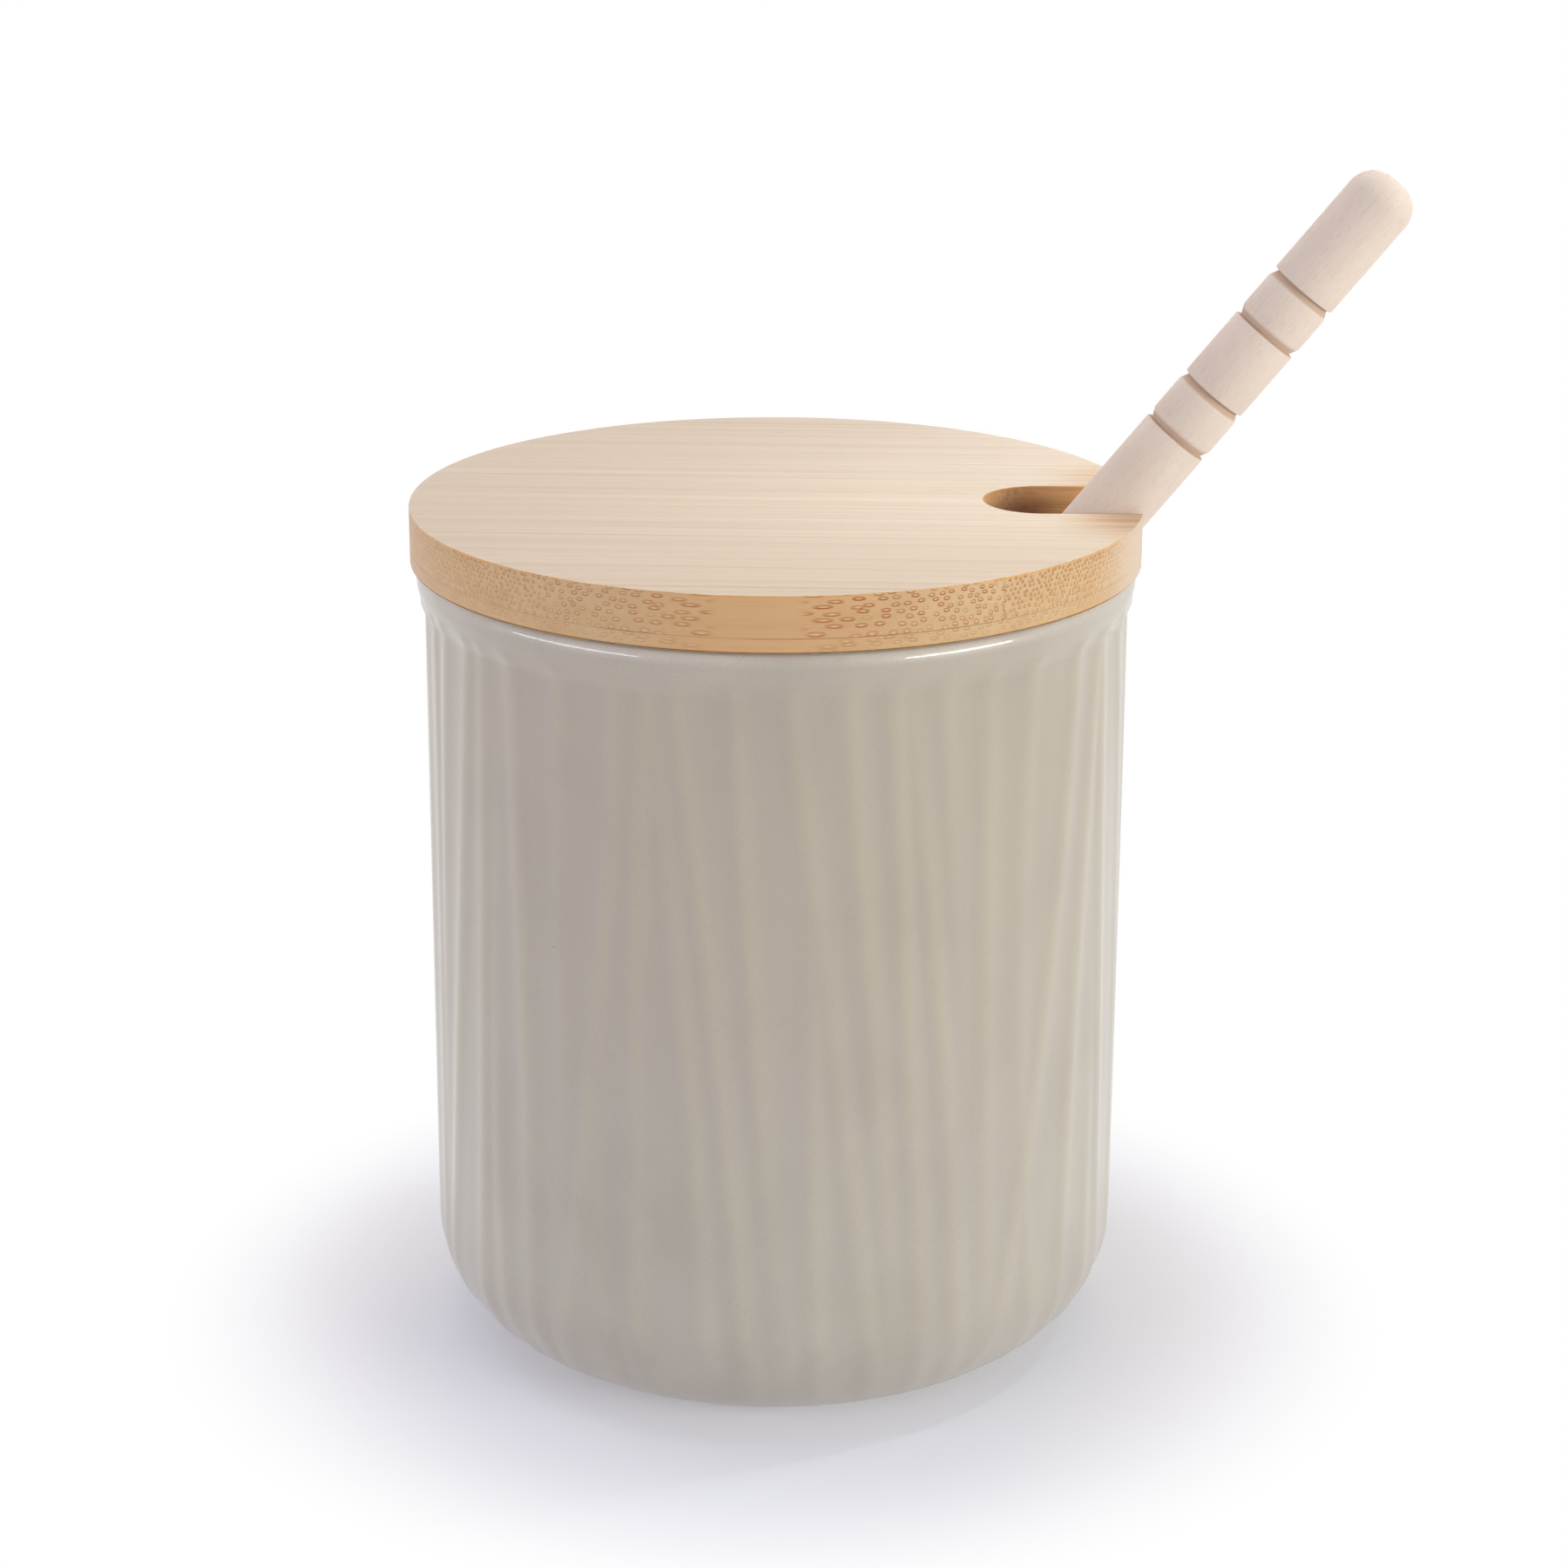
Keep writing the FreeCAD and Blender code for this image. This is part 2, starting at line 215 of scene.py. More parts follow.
def hand_over(piece: bpy.types.Object, node: str, body: Body) -> None:
    """Lets a finished piece stand for its CAD node and move with its body.

    Args:
        piece: The finished piece.
        node: The CAD node it replaces.
        body: The body it moves with.
    """
    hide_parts(node)
    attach(piece, body.value)
    LOG.info("%s: %d faces, stands for %s", piece.name, len(piece.data.polygons), node)


@dataclass(frozen=True)
class Figure:
    """One cloudy pattern of a finish, and how it shows: from least at its start to most where it is full.

    The grain is its size along X, Y and Z in millimetres, and the offset gives it a pattern of its own.
    """

    grain: tuple[float, float, float]
    offset: float
    start: float = 0.0
    full: float = 1.0
    least: float = 0.0
    most: float = 1.0
    detail: float = 2.0


class NodeBench:
    """Work bench for one material: adds nodes and joins them to its surface shader."""

    def __init__(self, name: str) -> None:
        """Starts the material.

        Args:
            name: The material's name.
        """
        self.material = bpy.data.materials.new(name)
        self.material.use_nodes = True
        self.tree = self.material.node_tree
        self.surface = next(n for n in self.tree.nodes if n.type == "BSDF_PRINCIPLED")

    def add(self, kind: str, inputs: dict[str | int, object], **settings: object) -> bpy.types.Node:
        """Adds a node.

        Args:
            kind: Blender's name for the node.
            inputs: A value or a socket for each of its inputs.
            settings: The node's properties.

        Returns:
            The new node.
        """
        node = self.tree.nodes.new(kind)
        for key, value in settings.items():
            setattr(node, key, value)
        for key, value in inputs.items():
            if isinstance(value, Socket):
                self.tree.links.new(value, node.inputs[key])
            else:
                node.inputs[key].default_value = value
        return node

    def math(self, operation: str, *values: Value) -> Socket:
        """One step of arithmetic on numbers or sockets, given by Blender's name for it."""
        return self.add("ShaderNodeMath", dict(enumerate(values)), operation=operation).outputs[0]

    def place(self) -> tuple[Socket, Socket, Socket, Socket]:
        """Where a point of the surface lies in the CAD frame, in millimetres, and its X, Y and Z."""
        point = self.add("ShaderNodeTexCoord", {}).outputs["Object"]
        return self.split(self.scaled(point, (1.0 / MM,) * 3))

    def facing(self) -> tuple[Socket, Socket, Socket, Socket]:
        """Which way the surface faces: the direction, and its X, Y and Z."""
        return self.split(self.add("ShaderNodeNewGeometry", {}).outputs["Normal"])

    def split(self, vector: Socket) -> tuple[Socket, Socket, Socket, Socket]:
        """A vector, and its X, Y and Z."""
        parts = self.add("ShaderNodeSeparateXYZ", {0: vector}).outputs
        return vector, parts[0], parts[1], parts[2]

    def scaled(self, vector: Socket, factors: tuple[float, ...]) -> Socket:
        """A vector with each of its parts multiplied by a factor of its own."""
        node = self.add("ShaderNodeVectorMath", {0: vector, 1: factors}, operation="MULTIPLY")
        return node.outputs[0]

    def noise(self, vector: Socket, figure: Figure) -> Socket:
        """Cloudy pattern of a figure.

        Args:
            vector: The place, in millimetres.
            figure: The figure.

        Returns:
            The pattern, about 0.2 to 0.8 round a middle of 0.5.
        """
        local = self.scaled(vector, tuple(1.0 / size for size in figure.grain))
        shift = (figure.offset, 2.0 * figure.offset, 3.0 * figure.offset)
        moved = self.add("ShaderNodeVectorMath", {0: local, 1: shift}).outputs[0]
        inputs = {"Vector": moved, "Scale": 1.0, "Detail": figure.detail, "Roughness": NOISE_ROUGHNESS}
        return self.add("ShaderNodeTexNoise", inputs, noise_dimensions="3D").outputs[0]

    def show(self, pattern: Socket, figure: Figure) -> Socket:
        """How strongly a figure shows where its pattern has a value."""
        return self.soft_step(pattern, figure.start, figure.full, figure.least, figure.most)

    def lay(self, colour: Socket | Tone, vector: Socket, figure: Figure, tint: Tone) -> Socket:
        """Colour with a figure laid over it in a tint."""
        return self.mix(self.show(self.noise(vector, figure), figure), colour, tint)

    def soft_step(self, value: Value, start: float, full: float, least: float = 0.0,
                  most: float = 1.0) -> Socket:
        """Soft step of a value, up or down, from least at the start to most where it is full."""
        inputs = dict(enumerate((value, start, full, least, most)))
        return self.add("ShaderNodeMapRange", inputs, interpolation_type="SMOOTHSTEP").outputs[0]

    def line(self, value: Value, middle: float, half_width: float, most: float = 1.0) -> Socket:
        """Thin soft line where a value is near a middle: most on the line, 0 away from it."""
        away = self.math("ABSOLUTE", self.math("SUBTRACT", value, middle))
        return self.soft_step(away, half_width, LINE_CORE * half_width, most=most)

    def length(self, first: Socket, second: Socket) -> Socket:
        """Length of the long side over two short sides."""
        return self.math("SQRT", self.math("ADD", self.both(first, first), self.both(second, second)))

    def both(self, first: Value, second: Value) -> Socket:
        """Product of two masks."""
        return self.math("MULTIPLY", first, second)

    def either(self, first: Value, second: Value) -> Socket:
        """The stronger of two masks."""
        return self.math("MAXIMUM", first, second)

    def mix(self, factor: Value, low: Socket | Tone, high: Socket | Tone) -> Socket:
        """Colour between two colours: the first one at 0, the second one at 1."""
        return self.add("ShaderNodeMix", {0: factor, 6: low, 7: high}, data_type="RGBA").outputs[2]

    def between(self, factor: Value, low: Value, high: Value) -> Socket:
        """Number between two numbers."""
        return self.add("ShaderNodeMapRange", {0: factor, 3: low, 4: high}).outputs[0]

    def set_surface(self, values: dict[str, float | Tone]) -> None:
        """Sets those sockets of the surface shader that are the same all over."""
        for key, value in values.items():
            self.surface.inputs[key].default_value = value

    def wear(self, colour: Socket, roughness: Socket, height: Socket) -> None:
        """Joins colour, roughness and relief to the surface shader.

        Args:
            colour: Base colour.
            roughness: Roughness.
            height: Relief in millimetres.
        """
        relief = self.add("ShaderNodeBump", {"Strength": 1.0, "Distance": MM, "Height": height})
        sockets = {"Base Color": colour, "Roughness": roughness, "Normal": relief.outputs[0]}
        for key, socket in sockets.items():
            self.tree.links.new(socket, self.surface.inputs[key])


@dataclass(frozen=True)
class GlazeFinish:
    """Glossy grey glaze: yellower on the crests, bare under the foot, a little paler towards the base with
    painted bounce light, and with painted light and shade round the lid.

    Bands are in millimetres: those at the rim are counted from its foot, the others from the floor.
    """

    valley: Tone = tone(180, 169, 153)
    # Painted bounce light from the floor: valleys and crests paler near the base.
    bounce_lit_valley: Tone = tone(184, 176, 163)
    crest: Tone = tone(187, 176, 153)
    bounce_lit_crest: Tone = tone(190, 181, 162)
    # Painted light on the rim, lifting the shade that the lid's overhang casts there.
    rim: Tone = tone(184, 174, 158)
    # The lip: thinner, paler glaze, with painted light that lifts the shade under the lid.
    lip: Tone = tone(200, 192, 180)
    # Painted shadow in the gap just under the lid, where it sits on the pot.
    seat: Tone = tone(112, 104, 97)
    mottle: Tone = tone(170, 161, 146)
    biscuit: Tone = tone(222, 211, 194)
    pinhole: Tone = tone(104, 97, 93)
    wall_radius: float = 42.2
    relief: float = 0.45
    crest_share: Span = (0.05, 1.0)
    rim_foot: float = 92.6
    crest_end: Span = (2.5, -1.5)
    # The rim's band of painted light, and the lip's band of thinner glaze with painted light.
    rim_band: Span = (0.0, 3.0)
    lip_band: Span = (3.6, 5.0)
    # Band and strength of the painted shadow just under the lid.
    lid_shadow_band: Span = (5.2, 5.55)
    lid_shadow_strength: float = 0.7
    # Heights over which the painted bounce light fades in towards the base.
    bounce_light_band: Span = (90.0, 10.0)
    bare_foot: Span = (0.30, 0.12)
    clouds: Figure = Figure((11.0, 11.0, 19.0), 3.1, 0.42, 0.75, most=0.45, detail=3.0)
    speckle: Figure = Figure((0.3, 0.3, 0.3), 7.7, 0.45, 0.85, most=0.5)
    peel: Figure = Figure((2.2, 2.2, 2.6), 1.3)
    pinhole_pitch: float = 8.0
    pinhole_size: Span = (0.026, 0.012)
    pinhole_chance: Span = (0.55, 0.6)
    pinhole_shade: float = 0.6
    pinhole_depth: float = -0.05
    peel_depth: float = 0.012
    sand_depth: Span = (0.004, 0.08)
    gloss_roughness: float = 0.34
    cloud_roughness: float = 0.08
    biscuit_roughness: float = 0.85
    ior: float = 1.5
    coat: float = 0.6
    coat_roughness: float = 0.07

    def material(self) -> bpy.types.Material:
        """Builds the glaze.

        Returns:
            The material.
        """
        bench = NodeBench("stoneware_glaze")
        point, across, along, height = bench.place()
        radius = bench.length(across, along)
        rise = bench.math("DIVIDE", bench.math("SUBTRACT", radius, self.wall_radius), self.relief)
        up_rim = bench.math("SUBTRACT", height, self.rim_foot)
        clouds = bench.noise(point, self.clouds)
        speckle = bench.noise(point, self.speckle)
        spots = bench.add("ShaderNodeTexVoronoi", {"Vector": point, "Scale": 1.0 / self.pinhole_pitch})
        chance = bench.split(spots.outputs["Color"])[1]
        holes = bench.both(bench.soft_step(spots.outputs["Distance"], *self.pinhole_size),
                           bench.soft_step(chance, *self.pinhole_chance))
        bare = bench.soft_step(height, *self.bare_foot)
        # Painted bounce light from the floor, stronger towards the base.
        low = bench.soft_step(height, *self.bounce_light_band)
        valley = bench.mix(low, self.valley, self.bounce_lit_valley)
        crest = bench.mix(low, self.crest, self.bounce_lit_crest)
        on_crest = bench.both(bench.soft_step(rise, *self.crest_share),
                              bench.soft_step(up_rim, *self.crest_end))
        colour = bench.mix(on_crest, valley, crest)
        # Painted light on the rim, where the lid shades it.
        colour = bench.mix(bench.soft_step(up_rim, *self.rim_band), colour, self.rim)
        # The lip's thinner glaze, with painted light lifting the lid's shade.
        colour = bench.mix(bench.soft_step(up_rim, *self.lip_band), colour, self.lip)
        # Painted shadow in the gap just under the lid.
        seat = bench.soft_step(up_rim, *self.lid_shadow_band, most=self.lid_shadow_strength)
        colour = bench.mix(seat, colour, self.seat)
        colour = bench.mix(bench.show(clouds, self.clouds), colour, self.mottle)
        colour = bench.mix(bench.show(speckle, self.speckle), colour, self.mottle)
        colour = bench.mix(bench.both(holes, self.pinhole_shade), colour, self.pinhole)
        colour = bench.mix(bare, colour, self.biscuit)
        gloss = bench.math("ADD", self.gloss_roughness, bench.both(clouds, self.cloud_roughness))
        roughness = bench.between(bare, gloss, self.biscuit_roughness)
        peel = bench.both(bench.noise(point, self.peel), self.peel_depth)
        sand = bench.both(speckle, bench.between(bare, *self.sand_depth))
        pits = bench.both(holes, self.pinhole_depth)
        bench.wear(colour, roughness, bench.math("ADD", bench.math("ADD", peel, sand), pits))
        bench.set_surface({"IOR": self.ior, "Coat Weight": self.coat,
                           "Coat Roughness": self.coat_roughness})
        return bench.material


@dataclass(frozen=True)
class BundleShape:
    """A bundle of fibre, sawn across, in shares of its cell: a dark ring round a pale core."""

    half_width: float = 0.30
    half_height: float = 0.32
    size: Span = (0.9, 0.88)
    ring_middle: float = 0.86
    ring_half: float = 0.4
    caps_from: Span = (0.2, 0.8)
    sides: float = 0.6
    # Painted shade: each ring's lower arc darker than its upper one, as on a bump lit from above.
    shaded_lower_half: Span = (0.08, -0.12)
    lit_upper_share: float = 0.68
    fill: Span = (1.2, 0.7)
    fill_share: Span = (0.14, 0.54)
    core: Span = (0.6, 0.2)
    missing: Span = (0.0, 0.1)
    luck: Span = (0.65, 1.0)
    by_height: Span = (0.5, 1.05)
    left_to_right: Span = (-15.0, 15.0)
    by_side: Span = (0.92, 1.35)
    skew: float = 0.5
    wander: Figure = Figure((26.0, 3.0, 3.0), 5.5, detail=1.0)
    wander_share: float = 0.5
    edge_margin: Span = (0.2, 0.42)


@dataclass(frozen=True)
class BambooFinish:
    """Sanded bamboo: long fine streaks on the flat, ring-shaped bundles of fibre on the cut edge."""

    name: str
    bottom: float
    top: float
    seams: tuple[float, ...]
    slot_start: float
    slot_half: float
    flat: Tone = tone(230, 212, 190)
    flat_streak: Tone = tone(212, 189, 162)
    flat_light: Tone = tone(239, 225, 203)
    flat_dash: Tone = tone(170, 134, 102)
    # Painted shadow of the dipper and its warm bounce on the top by the slot's tip, with some stain.
    dipper_shadow_and_stain: Tone = tone(200, 160, 116)
    edge: Tone = tone(212, 177, 131)
    edge_dark: Tone = tone(196, 153, 104)
    side_grain: Tone = tone(214, 170, 121)
    bundle: Tone = tone(172, 90, 18)
    core: Tone = tone(230, 198, 154)
    # Painted sheen of the lamps on the lid's edge at its right and left, strongest on the right.
    painted_end_sheen: Tone = tone(222, 201, 177)
    seam: Tone = tone(146, 100, 60)
    rind: Tone = tone(226, 164, 84)
    # Painted shade on the lowest part of the lid's edge, over the gap above the pot.
    underside: Tone = tone(92, 58, 40)
    # Scorched colour of the slot's wall, deepened with depth as painted shade.
    scorch_and_shade: Tone = tone(120, 73, 54)
    # Painted light on the slot's wall, lifting its shade.
    painted_slot_light: Tone = tone(238, 184, 124)
    bundle_strength: float = 1.0
    core_strength: float = 0.42
    bundle_pitch: float = 0.66
    rows: float = 6.2
    inner_density: float = 1.3
    row_bias: float = 1.15
    bundle_randomness: float = 0.5
    shape: BundleShape = BundleShape()
    grain_turn: float = -2.5
    joint: float = 100.24
    lid_radius: float = 44.0
    lid_top: float = 105.14
    lid_bottom: float = 98.5
    cloud: Figure = Figure((90.0, 3.4, 1.8), 4.4, 0.35, 0.75, most=0.4)
    fibre: Figure = Figure((60.0, 0.25, 0.25), 2.2, 0.45, 0.8, most=0.4)
    rind_patches: Figure = Figure((14.0, 5.0, 9.0), 21.6, 0.4, 0.62, 0.2, 0.75)
    glue_breaks: Figure = Figure((9.0, 9.0, 9.0), 8.8, 0.4, 0.62)
    broad: Figure = Figure((140.0, 2.8, 9.0), 1.1, 0.35, 0.75, most=0.28)
    streaks: Figure = Figure((170.0, 0.72, 6.0), 6.6, 0.48, 0.7, most=0.42)
    lights: Figure = Figure((150.0, 0.8, 6.0), 12.3, 0.5, 0.72, most=0.5)
    hairs: Figure = Figure((60.0, 0.3, 6.0), 15.7, 0.56, 0.72, most=0.6, detail=1.0)
    dashes: Figure = Figure((3.4, 0.15, 2.0), 9.9, 0.69, 0.8, detail=1.0)
    # Streaks that break up the dipper's painted shadow and stain along the grain.
    dipper_shadow_lines: Figure = Figure((90.0, 0.8, 6.0), 18.4, 0.42, 0.6, 0.45, 1.0)
    gloss: Figure = Figure((60.0, 0.3, 0.3), 2.2, 0.3, 0.8, 0.46, 0.6)
    side_facing: Span = (0.45, 0.15)
    crown: Span = (0.36, 0.2)
    hem: Span = (0.42, 0.26)
    # Band and strength of the painted shade on the lid's lowest edge.
    under_shadow_band: Span = (0.26, 0.12)
    under_shade: float = 0.85
    joint_half: float = 0.07
    joint_shade: Span = (0.3, 0.75)
    seam_half: float = 0.06
    seam_shade: Span = (0.08, 0.45)
    flat_seam_half: float = 0.05
    flat_seam_shade: float = 0.2
    dash_shade: float = 0.4
    # Where the dipper's painted shadow and stain lie on the top: along X, and beside the slot.
    dipper_shadow_from: Span = (31.0, 41.0)
    dipper_shadow_beside: Span = (22.0, 10.0)
    # Facings that carry the painted sheen on the right and on the left, and how much the left one gets.
    right_end: Span = (0.82, 0.99)
    left_end: Span = (-0.8, -1.0)
    left_sheen_share: float = 0.2
    upward: Span = (0.55, 0.85)
    slot_before: Span = (0.7, 0.3)
    slot_beside: Span = (0.5, 0.2)
    # How much of the slot's painted light is laid on.
    slot_light_share: float = 0.6
    # Depth, strength and reach of the slot's scorched colour and painted shade, darkest lower down.
    scorch_and_shade_depth: Span = (0.3, 3.3)
    scorch_and_shade_share: float = 0.85
    scorch_and_shade_reach: tuple[float, float, float] = (-1.0, 5.0, 11.0)
    scorch_and_shade_least: float = 0.15
    bundle_depth: float = -0.05
    dash_depth: float = -0.015
    glue_depth: float = -0.02
    fibre_depth: float = 0.015
    ior: float = 1.45

    def bundle_cells(self, bench: NodeBench, grain: Socket, held: Socket,
                     inner: Socket) -> tuple[Socket, Socket, Socket]:
        """Lays out the bundles in staggered rows, closer together in the inner strips.

        Args:
            bench: The material's bench.
            grain: The place, in millimetres, with X along the grain.
            held: Share of the ply's height.
            inner: 1 in the inner strips, 0 in the outermost ones.

        Returns:
            How far a point lies beside and above the middle of its bundle, and the bundle's chance colour.
        """
        shape = self.shape
        along = bench.split(grain)[2]
        density = bench.between(inner, 1.0, self.inner_density)
        row = bench.both(bench.both(bench.math("POWER", held, self.row_bias), self.rows), density)
        drift = bench.math("SUBTRACT", bench.noise(grain, shape.wander), NOISE_MIDDLE)
        column = bench.both(bench.math("DIVIDE", along, self.bundle_pitch), density)
        column = bench.math("ADD", column, bench.both(drift, shape.wander_share))
        skewed = bench.math("ADD", column, bench.both(row, shape.skew))
        sheet = bench.add("ShaderNodeCombineXYZ", {0: skewed, 1: row}).outputs[0]
        inputs = {"Vector": sheet, "Scale": 1.0, "Randomness": self.bundle_randomness}
        cells = bench.add("ShaderNodeTexVoronoi", inputs, voronoi_dimensions="2D").outputs
        offset = bench.add("ShaderNodeVectorMath", {0: sheet, 1: cells["Position"]}, operation="SUBTRACT")
        _, aslant, above, _ = bench.split(offset.outputs[0])
        beside = bench.math("SUBTRACT", aslant, bench.both(above, shape.skew))
        return beside, above, cells["Color"]

    def bundles(self, bench: NodeBench, grain: Socket, flat: Socket,
                height: Socket) -> tuple[Socket, Socket]:
        """Bundles of fibre as the saw cuts them across: a dark ring, strongest above and below a pale core,
        with painted shade making its lower arc the darker.

        Args:
            bench: The material's bench.
            grain: The place, in millimetres, with X along the grain.
            flat: Its Y, across the strips. The inner strips have smaller and closer bundles.
            height: Its height.

        Returns:
            Masks of the dark fibres and of the pale cores.
        """
        shape = self.shape
        _, lengthwise, along, _ = bench.split(grain)
        share = bench.math("DIVIDE", bench.math("SUBTRACT", height, self.bottom), self.top - self.bottom)
        held = bench.math("MAXIMUM", share, 0.0)
        inner = bench.math("LESS_THAN", bench.math("ABSOLUTE", flat), self.seams[-1])
        beside, above, chance = self.bundle_cells(bench, grain, held, inner)
        size = bench.between(held, *shape.size)
        wide = bench.math("ABSOLUTE", bench.math("DIVIDE", beside, bench.both(size, shape.half_width)))
        tall = bench.math("ABSOLUTE", bench.math("DIVIDE", above, bench.both(size, shape.half_height)))
        ring = bench.length(wide, tall)
        lean = bench.math("DIVIDE", tall, bench.math("MAXIMUM", ring, 0.01))
        caps = bench.both(bench.line(ring, shape.ring_middle, shape.ring_half),
                          bench.soft_step(lean, *shape.caps_from, shape.sides))
        # Painted shade: the ring's lower arc darker than its upper one, as on a bump lit from above.
        caps = bench.both(caps, bench.soft_step(above, *shape.shaded_lower_half, shape.lit_upper_share))
        fill = bench.both(bench.soft_step(ring, *shape.fill), bench.between(inner, *shape.fill_share))
        _, first_chance, second_chance, _ = bench.split(chance)
        kept = bench.soft_step(first_chance, *shape.missing)
        strength = bench.both(bench.between(second_chance, *shape.luck),
                              bench.both(kept, bench.between(held, *shape.by_height)))
        strength = bench.both(strength, bench.soft_step(lengthwise, *shape.left_to_right, *shape.by_side))
        margin = [self.lid_radius - step for step in shape.edge_margin]
        inside = bench.soft_step(bench.math("ABSOLUTE", along), *margin)
        dark = bench.both(bench.both(bench.either(caps, fill), strength), inside)
        pale = bench.both(bench.both(bench.soft_step(ring, *shape.core), kept), inside)
        return dark, pale

    def cut_edge(self, bench: NodeBench, grain: Socket, along: Socket,
                 height: Socket) -> tuple[Socket, Socket, Socket]:
        """The sawn edge: warm ground, bundles, glue lines, the orange line of the top and bottom edge, and
        painted shade along the bottom edge.

        Args:
            bench: The material's bench.
            grain: The place, in millimetres, with X along the grain.
            along: Its Y, across the strips.
            height: Its height.

        Returns:
            The colour, the bundles' mask and the glue lines' mask.
        """
        dark, pale = self.bundles(bench, grain, along, height)
        turn = bench.math("ABSOLUTE", bench.facing()[1])
        below_top = bench.math("SUBTRACT", self.lid_top, height)
        over_bottom = bench.math("SUBTRACT", height, self.lid_bottom)
        colour = bench.mix(bench.soft_step(turn, *self.side_facing), self.edge, self.side_grain)
        for figure in (self.cloud, self.fibre):
            colour = bench.lay(colour, grain, figure, self.edge_dark)
        colour = bench.mix(bench.both(dark, self.bundle_strength), colour, self.bundle)
        colour = bench.mix(bench.both(pale, self.core_strength), colour, self.core)
        edges = bench.either(bench.soft_step(below_top, *self.crown),
                             bench.soft_step(over_bottom, *self.hem))
        patches = bench.show(bench.noise(grain, self.rind_patches), self.rind_patches)
        colour = bench.mix(bench.both(edges, patches), colour, self.rind)
        # Painted shade on the lid's lowest edge, over the gap above the pot.
        under = bench.soft_step(over_bottom, *self.under_shadow_band, most=self.under_shade)
        colour = bench.mix(under, colour, self.underside)
        breaks = bench.show(bench.noise(grain, self.glue_breaks), self.glue_breaks)
        glue = bench.both(bench.line(height, self.joint, self.joint_half),
                          bench.between(breaks, *self.joint_shade))
        for place in self.seams:
            seam = bench.both(bench.line(along, place, self.seam_half),
                              bench.between(breaks, *self.seam_shade))
            glue = bench.either(glue, seam)
        return bench.mix(glue, colour, self.seam), dark, glue

    def sanded_face(self, bench: NodeBench, grain: Socket, along: Socket) -> tuple[Socket, Socket]:
        """The sanded top and underside: straight fine streaks, both darker and lighter, and a few dashes.

        Args:
            bench: The material's bench.
            grain: The place, in millimetres, with X along the grain.
            along: Its Y, across the strips.

        Returns:
            The colour and the dashes' mask.
        """
        colour = self.flat
        for figure, tint in ((self.broad, self.flat_streak), (self.streaks, self.flat_streak),
                             (self.lights, self.flat_light), (self.hairs, self.flat_streak)):
            colour = bench.lay(colour, grain, figure, tint)
        dashes = bench.show(bench.noise(grain, self.dashes), self.dashes)
        colour = bench.mix(bench.both(dashes, self.dash_shade), colour, self.flat_dash)
        for place in self.seams:
            line = bench.line(along, place, self.flat_seam_half, self.flat_seam_shade)
            colour = bench.mix(line, colour, self.seam)
        return colour, dashes

    def slot_wall(self, bench: NodeBench, edge: Socket, across: Socket, aside: Socket,
                  height: Socket) -> Socket:
        """The edge with a painted sheen at the lid's right and left, and the slot's wall with painted light
        all over it and, below its top, a scorched colour darkened by painted shade.

        Args:
            bench: The material's bench.
            edge: The sawn edge's colour.
            across: The place along X.
            aside: How far it lies from the slot's middle line.
            height: Its height.

        Returns:
            The colour.
        """
        from_slot = bench.math("SUBTRACT", across, self.slot_start)
        start, full = self.slot_before
        sides = [self.slot_half + step for step in self.slot_beside]
        in_slot = bench.both(bench.soft_step(from_slot, -start, -full), bench.soft_step(aside, *sides))
        # Painted sheen of the lamps on the edge at the lid's right and left, kept off the slot's wall.
        turn = bench.facing()[1]
        sheen_ends = bench.either(bench.soft_step(turn, *self.right_end),
                            bench.soft_step(turn, *self.left_end, most=self.left_sheen_share))
        edge = bench.mix(bench.both(sheen_ends, bench.math("SUBTRACT", 1.0, in_slot)), edge, self.painted_end_sheen)
        # Scorched colour with painted shade, darker deeper in the slot and strongest a few millimetres in
        # from its inner end.
        below_top = bench.math("SUBTRACT", self.lid_top, height)
        near, middle, far = self.scorch_and_shade_reach
        inward = bench.both(bench.soft_step(from_slot, near, middle),
                            bench.soft_step(from_slot, far, middle))
        scorch_and_shade_mask = bench.both(bench.soft_step(below_top, *self.scorch_and_shade_depth, most=self.scorch_and_shade_share),
                            bench.between(inward, self.scorch_and_shade_least, 1.0))
        # Painted light all over the slot's wall, lifting its shade.
        edge = bench.mix(bench.both(in_slot, self.slot_light_share), edge, self.painted_slot_light)
        return bench.mix(bench.both(in_slot, scorch_and_shade_mask), edge, self.scorch_and_shade)

    def material(self) -> bpy.types.Material:
        """Builds the bamboo of one ply.

        Returns:
            The material.
        """
        bench = NodeBench(self.name)
        point, across, along, height = bench.place()
        turned = {"Vector": point, "Angle": -math.radians(self.grain_turn)}
        grain = bench.add("ShaderNodeVectorRotate", turned, rotation_type="Z_AXIS").outputs[0]
        edge, dark, glue = self.cut_edge(bench, grain, along, height)
        flat, dashes = self.sanded_face(bench, grain, along)
        aside = bench.math("ABSOLUTE", along)
        # Painted shadow of the dipper and its warm bounce, with some stain, on the top by the slot's tip.
        tip = bench.both(bench.soft_step(across, *self.dipper_shadow_from),
                         bench.soft_step(aside, *self.dipper_shadow_beside))
        lines = bench.show(bench.noise(grain, self.dipper_shadow_lines), self.dipper_shadow_lines)
        flat = bench.mix(bench.both(tip, lines), flat, self.dipper_shadow_and_stain)
        edge = self.slot_wall(bench, edge, across, aside, height)
        upward = bench.soft_step(bench.math("ABSOLUTE", bench.facing()[3]), *self.upward)
        fibre = bench.noise(grain, self.gloss)
        pits = bench.between(upward, bench.both(dark, self.bundle_depth),
                             bench.both(dashes, self.dash_depth))
        relief = bench.math("ADD", pits, bench.both(glue, self.glue_depth))
        relief = bench.math("ADD", bench.both(fibre, self.fibre_depth), relief)
        bench.wear(bench.mix(upward, edge, flat), bench.show(fibre, self.gloss), relief)
        bench.set_surface({"IOR": self.ior})
        return bench.material


